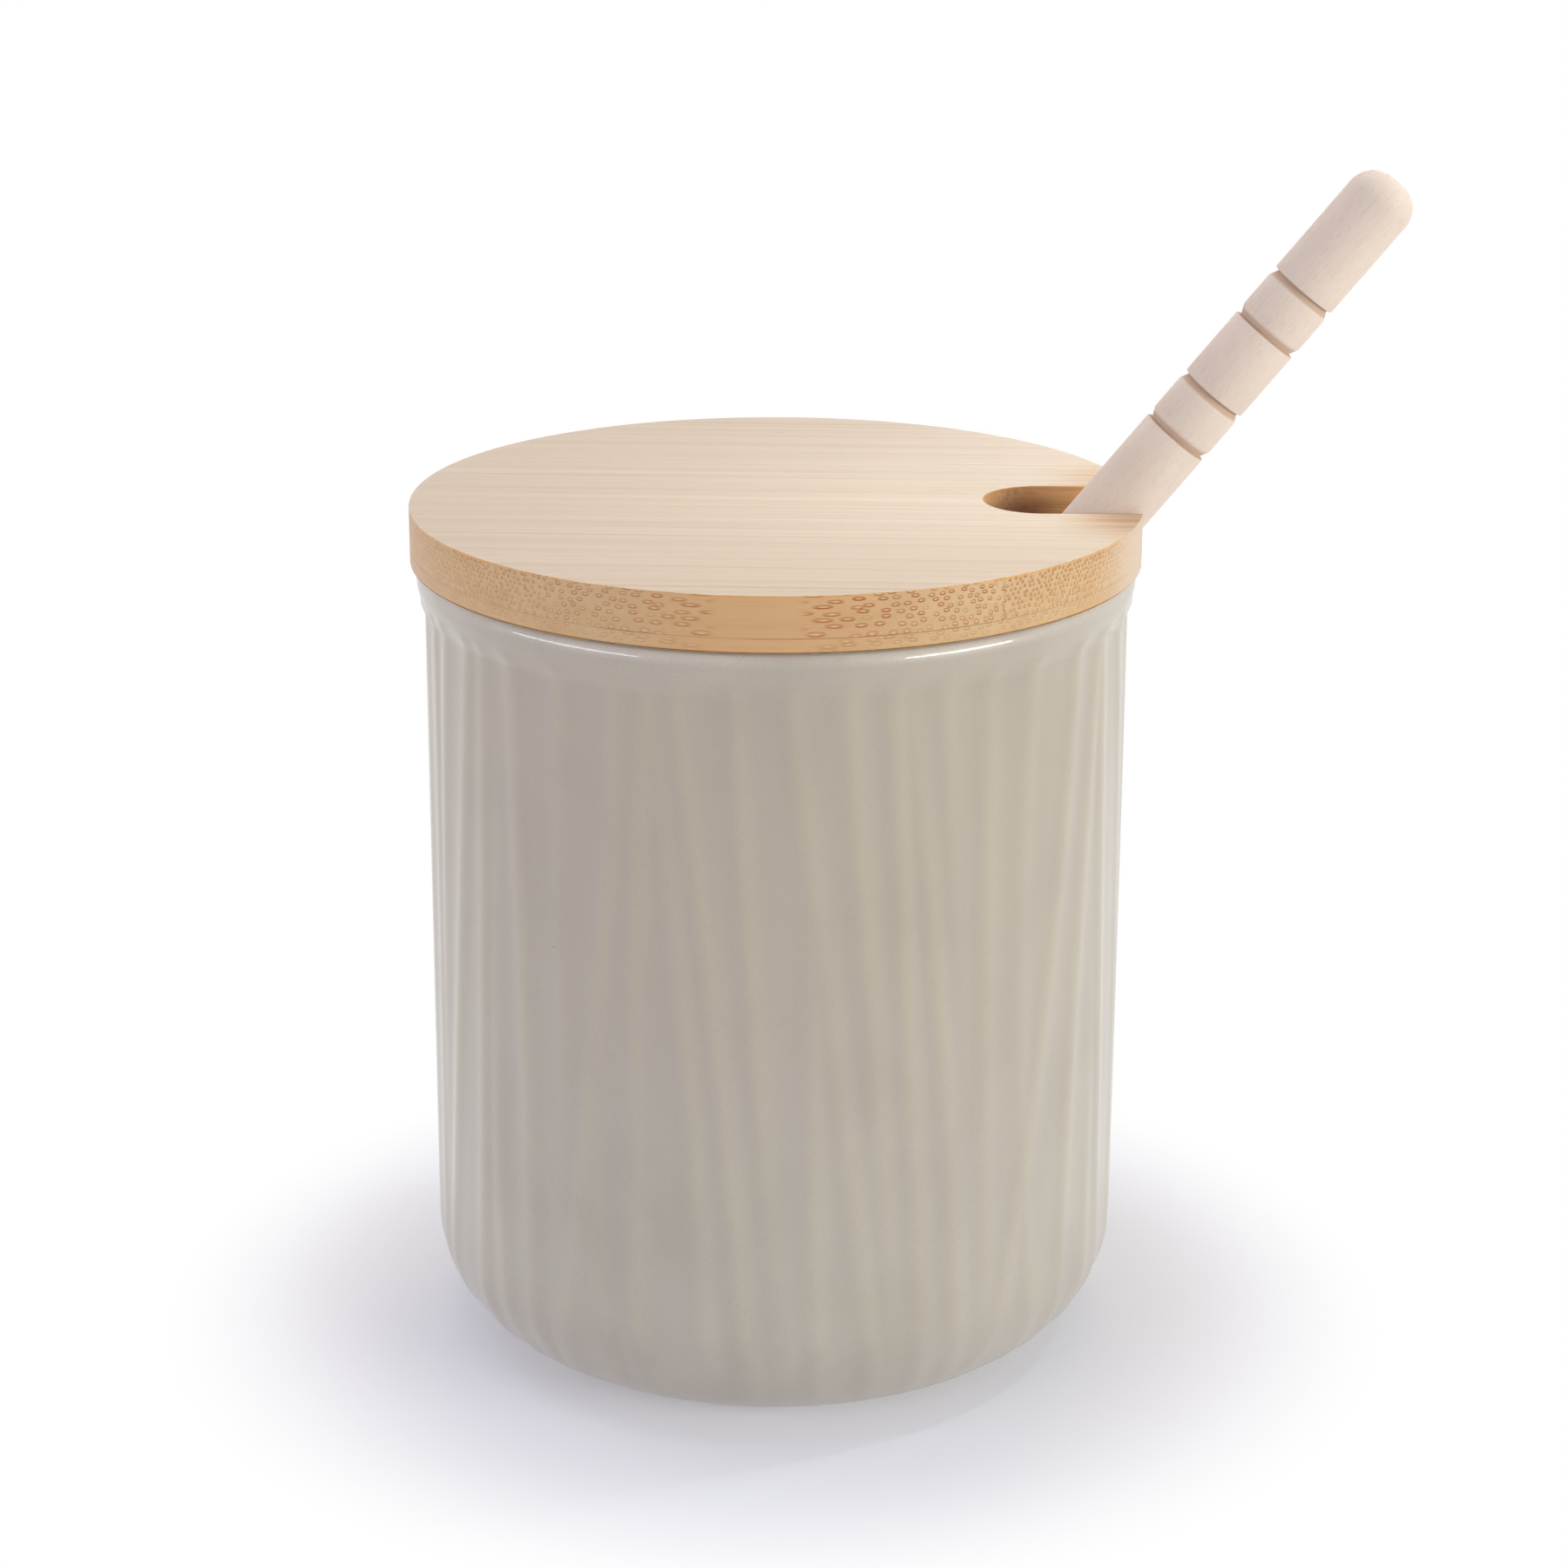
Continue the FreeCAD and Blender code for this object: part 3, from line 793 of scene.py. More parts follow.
@dataclass(frozen=True)
class DipperWoodFinish:
    """Bare pale wood with fine flecks along the stick, browner where the tool cut grooves."""

    foot: Vector
    lean: float
    plain: Tone = tone(227, 210, 194)
    fleck: Tone = tone(206, 184, 165)
    figure: Tone = tone(233, 217, 202)
    cut: Tone = tone(182, 146, 116)
    flecks: Figure = Figure((0.2, 0.2, 1.1), 1.7, 0.48, 0.8, most=0.45)
    streaks: Figure = Figure((0.9, 0.9, 26.0), 3.9, 0.45, 0.8, most=0.18)
    clouds: Figure = Figure((3.0, 3.0, 5.0), 6.1, 0.45, 0.8, most=0.4)
    stick_radius: float = 4.23
    groove_depth: Span = (0.04, 0.28)
    grooves_from: Span = (120.0, 121.0)
    grooves_to: Span = (158.0, 157.0)
    head_end: Span = (31.0, 30.5)
    gap_depth: float = 1.2
    cut_shade: float = 0.7
    roughness: Span = (0.55, 0.72)
    grain_depth: float = 0.03
    ior: float = 1.45

    def material(self) -> bpy.types.Material:
        """Builds the dipper's wood, laid along the stick.

        Returns:
            The material.
        """
        bench = NodeBench("dipper_wood")
        laid = {"Vector": bench.add("ShaderNodeTexCoord", {}).outputs["Object"], "Location": self.foot,
                "Rotation": (0.0, self.lean, 0.0), "Scale": (MM, MM, MM)}
        along_stick = bench.add("ShaderNodeMapping", laid, vector_type="TEXTURE").outputs[0]
        point, across, along, height = bench.split(along_stick)
        radius = bench.length(across, along)
        flecks = bench.noise(point, self.flecks)
        streaks = bench.noise(point, self.streaks)
        colour = bench.mix(bench.show(streaks, self.streaks), self.plain, self.fleck)
        colour = bench.mix(bench.show(flecks, self.flecks), colour, self.fleck)
        colour = bench.lay(colour, point, self.clouds, self.figure)
        cut = bench.soft_step(radius, *[self.stick_radius - depth for depth in self.groove_depth])
        cut = bench.both(cut, bench.soft_step(height, *self.grooves_from))
        cut = bench.both(cut, bench.soft_step(height, *self.grooves_to))
        gap = bench.both(bench.soft_step(radius, self.stick_radius + self.gap_depth, self.stick_radius),
                         bench.soft_step(height, *self.head_end))
        colour = bench.mix(bench.both(bench.either(cut, gap), self.cut_shade), colour, self.cut)
        relief = bench.both(bench.math("ADD", flecks, streaks), self.grain_depth)
        bench.wear(colour, bench.between(flecks, *self.roughness), relief)
        bench.set_surface({"IOR": self.ior})
        return bench.material


@dataclass(frozen=True)
class FloorFinish:
    """White studio sheet: holds a soft shadow round the object and is plain white further off."""

    white: Tone = (0.91, 0.92, 0.96, 1.0)
    glow: Tone = (0.94, 0.92, 1.0, 1.0)
    glow_share: float = 0.25
    shadow_reach: float = 42.0
    plain_from: float = 79.0
    roughness: float = 0.9

    def material(self) -> bpy.types.Material:
        """Builds the floor's finish.

        Returns:
            The material.
        """
        bench = NodeBench("studio_sheet")
        _, across, along, _ = bench.place()
        far = bench.soft_step(bench.length(across, along), self.shadow_reach, self.plain_from)
        path = bench.add("ShaderNodeLightPath", {}).outputs
        seen = path["Is Camera Ray"]
        for kind in MIRRORED_RAYS:
            seen = bench.either(seen, path[kind])
        plain = bench.both(far, seen)
        lit = {"Color": bench.mix(plain, self.glow, WHITE), "Strength": 1.0}
        glow = bench.add("ShaderNodeEmission", lit).outputs[0]
        bench.set_surface({"Base Color": self.white, "Roughness": self.roughness,
                           "Specular IOR Level": 0.0})
        share = bench.between(plain, self.glow_share, 1.0)
        joined = bench.add("ShaderNodeMixShader", {0: share, 1: bench.surface.outputs[0], 2: glow})
        output = next(n for n in bench.tree.nodes if n.type == "OUTPUT_MATERIAL")
        bench.tree.links.new(joined.outputs[0], output.inputs["Surface"])
        return bench.material


@dataclass
class StonewarePot:
    """Hollow pot with a rounded base corner, drawn ridges and a rolled rim. Sizes in millimetres."""

    body_radius: float = 42.2
    pot_height: float = 98.5
    wall: float = 3.0
    floor: float = 5.0
    base_corner: float = 14.4
    inside_corner: float = 10.0
    ridge_relief: float = 0.29
    ridge_spread: float = 1.5
    rim_band: float = 5.9
    rim_projection: float = 1.1
    rim_swell: float = 1.2
    lip_width: float = 1.4
    lip_height: float = 1.9
    bevel_width: float = 1.95
    bevel_height: float = 2.7
    mouth_ease: float = 0.35
    mouth_drops: Span = (0.35, 1.2)
    throat_ease: Span = (0.35, 0.08)
    throat_drops: Span = (0.1, 0.7)
    base_rings: tuple[float, ...] = (0.0, 9.0, 18.0, 25.0)
    corner_rows: int = 26
    wall_rows: int = 44
    rim_rows: int = 14
    inside_rows: int = 7
    inside_corner_rows: int = 11
    steps: int = 600
    crease: float = 42.0
    skin_tolerance: float = 0.02
    corner_fade: Span = (18.0, 60.0)
    ridge_end: Span = (0.3, 0.65)
    ridge_stations: tuple[float, float, float] = (1.0, 0.54, 0.11)
    piece: bpy.types.Object | None = None

    # Bearing of each ridge of the front half, in degrees from the front, at the top, middle and
    # bottom of the wall, and how strong it is there. The back half carries the same ridges.
    RIDGES = (
        ((-79.0, -80.0, -82.0), (1.0, 1.0, 1.0)),
        ((-72.0, -73.0, -75.5), (1.0, 0.9, 1.0)),
        ((-66.0, -70.0, -73.0), (1.0, 0.6, 0.0)),
        ((-57.5, -63.0, -69.5), (0.8, 1.0, 1.0)),
        ((-52.5, -54.5, -57.0), (0.6, 1.0, 1.0)),
        ((-48.0, -51.0, -50.0), (0.0, 0.5, 0.8)),
        ((-45.5, -43.5, -43.0), (0.9, 1.0, 1.0)),
        ((-35.5, -35.5, -37.0), (1.0, 0.7, 0.0)),
        ((-25.5, -29.0, -36.5), (1.0, 1.0, 1.0)),
        ((-27.0, -28.8, -28.5), (0.0, 0.4, 1.0)),
        ((-20.0, -22.3, -22.5), (0.9, 1.0, 1.0)),
        ((-19.5, -14.0, -11.0), (0.6, 0.9, 0.9)),
        ((-15.5, -9.0, -4.5), (1.0, 1.0, 1.0)),
        ((-6.3, -2.7, 1.5), (1.0, 1.0, 0.3)),
        ((2.3, 9.5, 16.0), (1.0, 0.9, 1.0)),
        ((5.5, 6.0, 7.0), (0.0, 0.8, 1.0)),
        ((11.0, 15.7, 19.5), (1.0, 1.0, 0.3)),
        ((18.5, 21.5, 24.7), (1.0, 1.0, 1.0)),
        ((27.0, 30.5, 33.0), (1.0, 0.2, 0.0)),
        ((20.5, 27.3, 31.0), (0.4, 1.0, 1.0)),
        ((35.0, 35.6, 36.5), (1.0, 1.0, 0.4)),
        ((44.0, 43.0, 47.5), (1.0, 0.6, 0.8)),
        ((55.5, 48.8, 38.5), (1.0, 1.0, 1.0)),
        ((63.0, 57.5, 55.0), (0.9, 1.0, 1.0)),
        ((64.5, 67.5, 70.5), (1.0, 1.0, 0.8)),
        ((66.0, 64.8, 64.0), (0.0, 0.2, 1.0)),
        ((73.5, 79.0, 79.5), (1.0, 1.0, 1.0)),
        ((82.0, 86.0, 88.0), (1.0, 1.0, 1.0)),
        ((91.0, 93.0, 95.0), (1.0, 0.9, 1.0)),
    )

    def outline(self) -> list[Span]:
        """Half section of the pot, from the middle of its base round to the middle of its floor.

        Returns:
            Radius and height of each corner, in metres.
        """
        body, corner = self.body_radius, self.base_corner
        rim_foot = self.pot_height - self.rim_band
        widest = self.pot_height - self.lip_height
        rim = body + self.rim_projection
        inside = body - self.wall
        rows = [(ring, 0.0) for ring in self.base_rings]
        for sine, cosine in quarter_turn(self.corner_rows):
            rows.append((body - corner + corner * sine, corner * (1.0 - cosine)))
        for height in np.linspace(corner, rim_foot, self.wall_rows)[1:]:
            rows.append((body, height))
        for share in np.linspace(0.0, 1.0, self.rim_rows)[1:]:
            height = rim_foot + (widest - rim_foot) * share
            rows.append((body + float(self.swell(height)), height))
        for sine, cosine in quarter_turn(self.rim_rows)[1:]:
            rows.append((rim - self.lip_width * (1.0 - cosine), widest + self.lip_height * sine))
        edge = inside + self.bevel_width
        slope = self.bevel_width / self.bevel_height
        rows.append((edge + self.mouth_ease, self.pot_height))
        rows.append((edge, self.pot_height - self.mouth_drops[0] * self.mouth_ease))
        slant = self.mouth_ease * slope
        rows.append((edge - slant, self.pot_height - self.mouth_drops[1] * self.mouth_ease))
        throat = self.pot_height - self.bevel_height
        rows.append((inside + self.throat_ease[0], throat + self.throat_ease[0] / slope))
        rows.append((inside + self.throat_ease[1], throat - self.throat_drops[0]))
        straight = throat - self.throat_drops[1]
        for height in np.linspace(straight, self.floor + self.inside_corner, self.inside_rows):
            rows.append((inside, height))
        bend = inside - self.inside_corner
        for sine, cosine in quarter_turn(self.inside_corner_rows)[1:]:
            rise = self.inside_corner * (1.0 - sine)
            rows.append((bend + self.inside_corner * cosine, self.floor + rise))
        rows += [(ring, self.floor) for ring in reversed(self.base_rings[:-1])]
        return [(radius * MM, height * MM) for radius, height in rows]

    def along_wall(self, share: np.ndarray, values: tuple[float, float, float]) -> np.ndarray:
        """Carries three values, given at the ridges' stations, smoothly over the wall.

        Args:
            share: Shares of the wall's height.
            values: The value at each station.

        Returns:
            The value at each share.
        """
        total = np.zeros_like(share)
        for here, value in zip(self.ridge_stations, values):
            weight = np.ones_like(share)
            for other in self.ridge_stations:
                if other != here:
                    weight *= (share - other) / (here - other)
            total += weight * value
        return total

    def rise(self, bearing: np.ndarray, height: np.ndarray) -> np.ndarray:
        """Share of the ridges' relief at places on the wall.

        Args:
            bearing: Degrees from the front.
            height: Heights in millimetres.

        Returns:
            0 in a valley, 1 on a crest.
        """
        share = height / (self.pot_height - self.rim_band)
        heap = np.zeros_like(share)
        for bearings, strengths in self.RIDGES:
            middle = self.along_wall(share, bearings)
            strength = np.clip(self.along_wall(share, strengths), 0.0, 1.0)
            for half_turn in (0.0, 180.0):
                away = (bearing - middle - half_turn + 180.0) % 360.0 - 180.0
                arc = np.radians(away) * self.body_radius
                heap += (strength * np.exp(-(arc / self.ridge_spread) ** 2)) ** 3
        return np.cbrt(heap)

    def rim_share(self, height: np.ndarray) -> np.ndarray:
        """How far up the rim heights lie: 0 at its foot, 1 where it is widest."""
        foot, widest = self.pot_height - self.rim_band, self.pot_height - self.lip_height
        return np.clip((height - foot) / (widest - foot), 0.0, 1.0)

    def swell(self, height: np.ndarray) -> np.ndarray:
        """How far the rim stands out from the wall at heights, in millimetres."""
        return self.rim_projection * np.sin(math.pi / 2 * self.rim_share(height)) ** self.rim_swell

    def raise_ridges(self) -> None:
        """Draws the ridges out of the turned wall, point by point. They end under the rim."""
        mesh = self.piece.data
        spots = np.empty(len(mesh.vertices) * 3)
        mesh.vertices.foreach_get("co", spots)
        spots = spots.reshape(-1, 3) / MM
        radius = np.hypot(spots[:, 0], spots[:, 1])
        height = spots[:, 2]
        corner = self.base_corner
        turn = np.arccos(np.clip(1.0 - height / corner, 0.0, 1.0))
        swell = self.swell(height)
        skin = self.body_radius - corner + corner * np.sin(turn) + swell
        on_skin = np.abs(radius - skin) < self.skin_tolerance
        outside = on_skin & (height < self.pot_height - self.lip_height)
        under_rim = smooth(self.rim_share(height), *self.ridge_end)
        fade = smooth(np.degrees(turn), *self.corner_fade) * (1.0 - under_rim)
        bearing = np.degrees(np.arctan2(spots[:, 0], -spots[:, 1]))
        lift = np.where(outside, self.ridge_relief * fade * self.rise(bearing, height), 0.0)
        spots[:, :2] *= (1.0 + lift / np.maximum(radius, 1.0))[:, None]
        mesh.vertices.foreach_set("co", (spots * MM).ravel())
        mesh.update()

    def build(self) -> None:
        """Turns the pot, closes it and draws its ridges."""
        self.piece = turn_on_lathe("stoneware_pot", self.outline(), self.steps)
        close_edit(self.piece, self.crease)
        self.raise_ridges()

    def dress(self, finish: GlazeFinish) -> None:
        """Glazes the pot and hands it over.

        Args:
            finish: The glaze.
        """
        self.piece.data.materials.append(finish.material())
        hand_over(self.piece, "pot", Body.POT)


@dataclass
class BambooLid:
    """Two-ply lid of glued strips with a slot and a plug. Sizes in millimetres."""

    radius: float = 44.0
    seat: float = 98.5
    joint: float = 100.24
    top: float = 105.14
    plug_radius: float = 38.7
    plug_depth: float = 3.16
    edge_ease: float = 0.4
    slot_width: float = 13.6
    slot_inner_end: float = 24.84
    face_seams: tuple[float, ...] = (-35.805, -11.935, 11.935, 35.805)
    back_seams: tuple[float, ...] = (-23.87, 0.0, 23.87)
    round_steps: int = 384
    slot_steps: int = 96
    ease_segments: int = 3
    ease_angle: float = 50.0
    crease: float = 30.0
    underside_below: float = -0.9
    cutter_depth: float = 40.0
    clearance: float = 1.0
    tolerance: float = 0.001
    face_strips: tuple[bpy.types.Object, ...] = ()
    back_strips: tuple[bpy.types.Object, ...] = ()

    def board(self, name: str, bottom: float, top: float) -> bpy.types.Object:
        """A round board between two heights.

        Args:
            name: The board's name.
            bottom: Height of its underside.
            top: Height of its upper side.

        Returns:
            The board.
        """
        deselect_all()
        bpy.ops.mesh.primitive_cylinder_add(
            vertices=self.round_steps, radius=self.radius * MM, depth=(top - bottom) * MM,
            location=(0.0, 0.0, (top + bottom) / 2 * MM))
        piece = bpy.context.active_object
        piece.name = name
        settle(piece)
        return piece

    def add_plug(self, board: bpy.types.Object) -> None:
        """Draws the plug down from the middle of the back board's underside.

        Args:
            board: The back board.
        """
        edit_all(board)
        bpy.ops.mesh.select_all(action="DESELECT")
        bpy.ops.object.mode_set(mode="OBJECT")
        for face in board.data.polygons:
            face.select = face.normal.z < self.underside_below
        bpy.ops.object.mode_set(mode="EDIT")
        bpy.ops.mesh.inset(thickness=(self.radius - self.plug_radius) * MM, depth=0.0)
        down = (0.0, 0.0, -self.plug_depth * MM)
        bpy.ops.mesh.extrude_region_move(TRANSFORM_OT_translate={"value": down})
        bpy.ops.object.mode_set(mode="OBJECT")

    def slot_cutter(self) -> bpy.types.Object:
        """A tall block with one round end, the shape of the slot.

        Returns:
            The cutter.
        """
        half = self.slot_width / 2
        middle = self.slot_inner_end + half
        deselect_all()
        bpy.ops.mesh.primitive_cylinder_add(
            vertices=self.slot_steps, radius=half * MM, depth=self.cutter_depth * MM,
            location=(middle * MM, 0.0, self.joint * MM))
        cutter = bpy.context.active_object
        settle(cutter)
        for corner in cutter.data.vertices:
            corner.select = corner.co.x > (middle + self.tolerance) * MM
        for element in (*cutter.data.edges, *cutter.data.polygons):
            element.select = all(cutter.data.vertices[end].select for end in element.vertices)
        bpy.ops.object.mode_set(mode="EDIT")
        bpy.ops.transform.translate(value=(2.0 * self.slot_width * MM, 0.0, 0.0))
        bpy.ops.object.mode_set(mode="OBJECT")
        return cutter

    def cut_slot(self, board: bpy.types.Object) -> None:
        """Cuts the slot into a board and eases the board's edges.

        Args:
            board: The board to cut.
        """
        cutter = self.slot_cutter()
        apply_modifier(board, "BOOLEAN", object=cutter, operation="DIFFERENCE", solver="EXACT")
        bpy.data.objects.remove(cutter)
        apply_modifier(board, "BEVEL", width=self.edge_ease * MM, segments=self.ease_segments,
                       limit_method="ANGLE", angle_limit=math.radians(self.ease_angle))

    def copy_between(self, board: bpy.types.Object, name: str, axis: int, low: float,
                     high: float) -> bpy.types.Object:
        """Copies the part of a board that lies between two parallel saw cuts.

        Args:
            board: The board, which stays as it is.
            name: The copy's name.
            axis: The axis across the cuts: 1 for Y, 2 for Z.
            low: Place of the lower cut.
            high: Place of the upper cut.

        Returns:
            The copy, closed where it was cut.
        """
        pick(board)
        bpy.ops.object.duplicate()
        copy = bpy.context.active_object
        copy.name = name
        copy.data.name = name
        across = Vector((0.0, 0.0, 0.0))
        across[axis] = 1.0
        for place, keeps_above in ((low, True), (high, False)):
            edit_all(copy)
            bpy.ops.mesh.bisect(plane_co=across * place * MM, plane_no=across, use_fill=True,
                                clear_inner=keeps_above, clear_outer=not keeps_above)
        deselect_all()
        return copy

    def saw(self, blank: bpy.types.Object, ply: Ply, bottom: float, top: float,
            seams: tuple[float, ...]) -> tuple[bpy.types.Object, ...]:
        """Parts one ply of the blank at its glue lines into strips.

        Args:
            blank: The whole lid, which stays as it is.
            ply: The ply to saw.
            bottom: Height of the ply's underside.
            top: Height of its upper side.
            seams: Where its glue lines lie across Y.

        Returns:
            The strips, in order across Y.
        """
        board = self.copy_between(blank, f"bamboo_{ply.name.lower()}_board", 2, bottom, top)
        outermost = self.radius + self.clearance
        sides = [-outermost, *seams, outermost]
        strips = []
        for number, (near, far) in enumerate(zip(sides, sides[1:]), start=1):
            strip = self.copy_between(board, f"bamboo_{ply.name.lower()}_strip_{number}", 1, near, far)
            close_edit(strip, self.crease)
            strips.append(strip)
        bpy.data.objects.remove(board)
        return tuple(strips)

    def build(self) -> None:
        """Makes the whole lid with its plug, cuts the slot, and parts it into two plies of strips."""
        blank = self.board("bamboo_blank", self.seat, self.top)
        self.add_plug(blank)
        self.cut_slot(blank)
        above = self.top + self.clearance
        below = self.seat - self.plug_depth - self.clearance
        self.face_strips = self.saw(blank, Ply.FACE, self.joint, above, self.face_seams)
        self.back_strips = self.saw(blank, Ply.BACK, below, self.joint, self.back_seams)
        bpy.data.objects.remove(blank)

    def dress(self) -> None:
        """Gives each ply its bamboo and hands the strips over."""
        slot = (self.slot_inner_end, self.slot_width / 2)
        face = BambooFinish("bamboo_face", self.joint, self.top, self.face_seams, *slot)
        back = BambooFinish("bamboo_back", self.seat, self.joint, self.back_seams, *slot,
                            bundle_strength=0.3, core_strength=0.5, rows=2.7, row_bias=1.0,
                            bundle_pitch=0.8)
        self.dress_ply(self.face_strips, Ply.FACE, face.material())
        self.dress_ply(self.back_strips, Ply.BACK, back.material())

    def dress_ply(self, strips: tuple[bpy.types.Object, ...], ply: Ply, material: bpy.types.Material) -> None:
        """Gives one ply's strips their material and hands them over.

        Args:
            strips: The strips, in order across Y.
            ply: Their ply.
            material: Its bamboo.
        """
        for number, strip in enumerate(strips, start=1):
            strip.data.materials.clear()
            strip.data.materials.append(material)
            hand_over(strip, f"{ply.value}_{number}", Body.LID)


@dataclass
class HoneyDipper:
    """Turned stick with a head of discs and two banded pairs of grooves. Sizes in millimetres."""

    length: float = 169.69
    handle_radius: float = 4.23
    tip_round: float = 3.4
    grooves: tuple[float, ...] = (17.0, 22.75, 32.95, 38.7)
    groove_half: float = 0.6
    groove_steps: tuple[Span, ...] = (
        (0.0, -0.12), (0.06, 0.0), (0.5, 0.12), (0.5, 0.24), (0.05, 1.14), (0.0, 1.3))
    head_radius: float = 10.5
    head_end_radius: float = 4.8
    disc_count: int = 7
    disc_thickness: float = 2.6
    disc_gap: float = 2.0
    disc_ease: float = 0.35
    disc_rows: int = 9
    stick_rows: int = 20
    shoulder_rows: int = 6
    tip_rows: int = 14
    steps: int = 112
    crease: float = 38.0
    foot: Vector | None = None
    axis: Vector | None = None
    piece: bpy.types.Object | None = None

    def find_place(self) -> None:
        """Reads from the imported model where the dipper's flat end lies and which way it points."""
        joint = next(item for item in frame["joints"] if item["child"] == Body.DIPPER.value)
        self.axis = Vector(joint["axis"]).normalized()
        across = Vector((0.0, 1.0, 0.0))
        upward = self.axis.cross(across)
        spots = np.array([corner.co for corner in frame["nodes"]["dipper"].data.vertices])
        middle = Vector()
        for direction in (across, upward):
            reach = spots @ np.array(direction)
            middle += direction * float(reach.min() + reach.max()) / 2
        self.foot = middle + self.axis * float((spots @ np.array(self.axis)).min())

    def head_outline(self) -> list[Span]:
        """Half section of the head: discs with eased edges, cut from an egg.

        Returns:
            Radius and height of each corner.
        """
        pitch = self.disc_thickness + self.disc_gap
        half = (self.disc_count * pitch - self.disc_gap) / 2
        egg = half / math.sqrt(1.0 - (self.head_end_radius / self.head_radius) ** 2)
        rows = [(0.0, 0.0)]
        for place in range(self.disc_count):
            bottom = place * pitch
            ease = self.disc_ease
            if place:
                rows.append((self.handle_radius, bottom))
            for share in np.linspace(0.0, 1.0, self.disc_rows):
                height = bottom + self.disc_thickness * share
                radius = self.head_radius * math.sqrt(1.0 - ((height - half) / egg) ** 2)
                near = min(share, 1.0 - share) * self.disc_thickness
                pull = ease - math.sqrt(max(ease ** 2 - max(ease - near, 0.0) ** 2, 0.0))
                rows.append((radius - pull, height))
            rows.append((self.handle_radius, bottom + self.disc_thickness))
        return rows

    def handle_outline(self) -> list[Span]:
        """Half section of the stick above the head: grooves, each steep on one side, and a domed tip.

        The groove steps hold the depth at each distance from the steep side of a groove.

        Returns:
            Radius and height of each corner.
        """
        stick = self.handle_radius
        start = self.disc_count * (self.disc_thickness + self.disc_gap) - self.disc_gap
        first_cut = self.length - self.grooves[-1] - self.groove_half
        rows = [(stick, height) for height in np.linspace(start, first_cut, self.stick_rows)[1:-1]]
        for number, back in enumerate(reversed(self.grooves)):
            middle = self.length - back
            if number % 2 == 0:
                low = middle - self.groove_half
                rows += [(stick - depth, low + step) for depth, step in self.groove_steps]
            else:
                high = middle + self.groove_half
                rows += [(stick - depth, high - step) for depth, step in reversed(self.groove_steps)]
        shoulder = self.length - self.tip_round
        for height in np.linspace(rows[-1][1], shoulder, self.shoulder_rows)[1:-1]:
            rows.append((stick, height))
        for sine, cosine in quarter_turn(self.tip_rows):
            rows.append((stick - self.tip_round * (1.0 - cosine), shoulder + self.tip_round * sine))
        rows.append((0.0, self.length))
        return rows

    def build(self) -> None:
        """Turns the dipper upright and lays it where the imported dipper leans."""
        self.find_place()
        rows = self.head_outline() + self.handle_outline()
        outline = [(radius * MM, height * MM) for radius, height in rows]
        self.piece = turn_on_lathe("turned_dipper", outline, self.steps)
        close_edit(self.piece, self.crease)
        self.piece.location = self.foot
        self.piece.rotation_euler = (0.0, self.lean(), 0.0)
        settle(self.piece)

    def lean(self) -> float:
        """How far the stick leans from upright towards +X, in radians."""
        return math.atan2(self.axis.x, self.axis.z)

    def dress(self) -> None:
        """Gives the dipper its wood and hands it over."""
        finish = DipperWoodFinish(self.foot, self.lean())
        self.piece.data.materials.append(finish.material())
        hand_over(self.piece, "dipper", Body.DIPPER)


@dataclass(frozen=True)
class SoftBox:
    """One soft studio lamp. Places in millimetres."""

    name: str
    place: tuple[float, float, float]
    aim: tuple[float, float, float]
    width: float
    height: float
    watts: float
    tint: tuple[float, float, float]
    spread: float = 180.0

    def hang(self) -> None:
        """Adds the lamp to the scene, turned to its aim."""
        deselect_all()
        bpy.ops.object.light_add(type="AREA", location=Vector(self.place) * MM)
        lamp = bpy.context.active_object
        lamp.name = self.name
        towards = Vector(self.aim) - Vector(self.place)
        lamp.rotation_euler = towards.to_track_quat("-Z", "Y").to_euler()
        lamp.data.shape = "RECTANGLE"
        lamp.data.size = self.width * MM
        lamp.data.size_y = self.height * MM
        lamp.data.energy = self.watts
        lamp.data.color = self.tint
        lamp.data.spread = math.radians(self.spread)


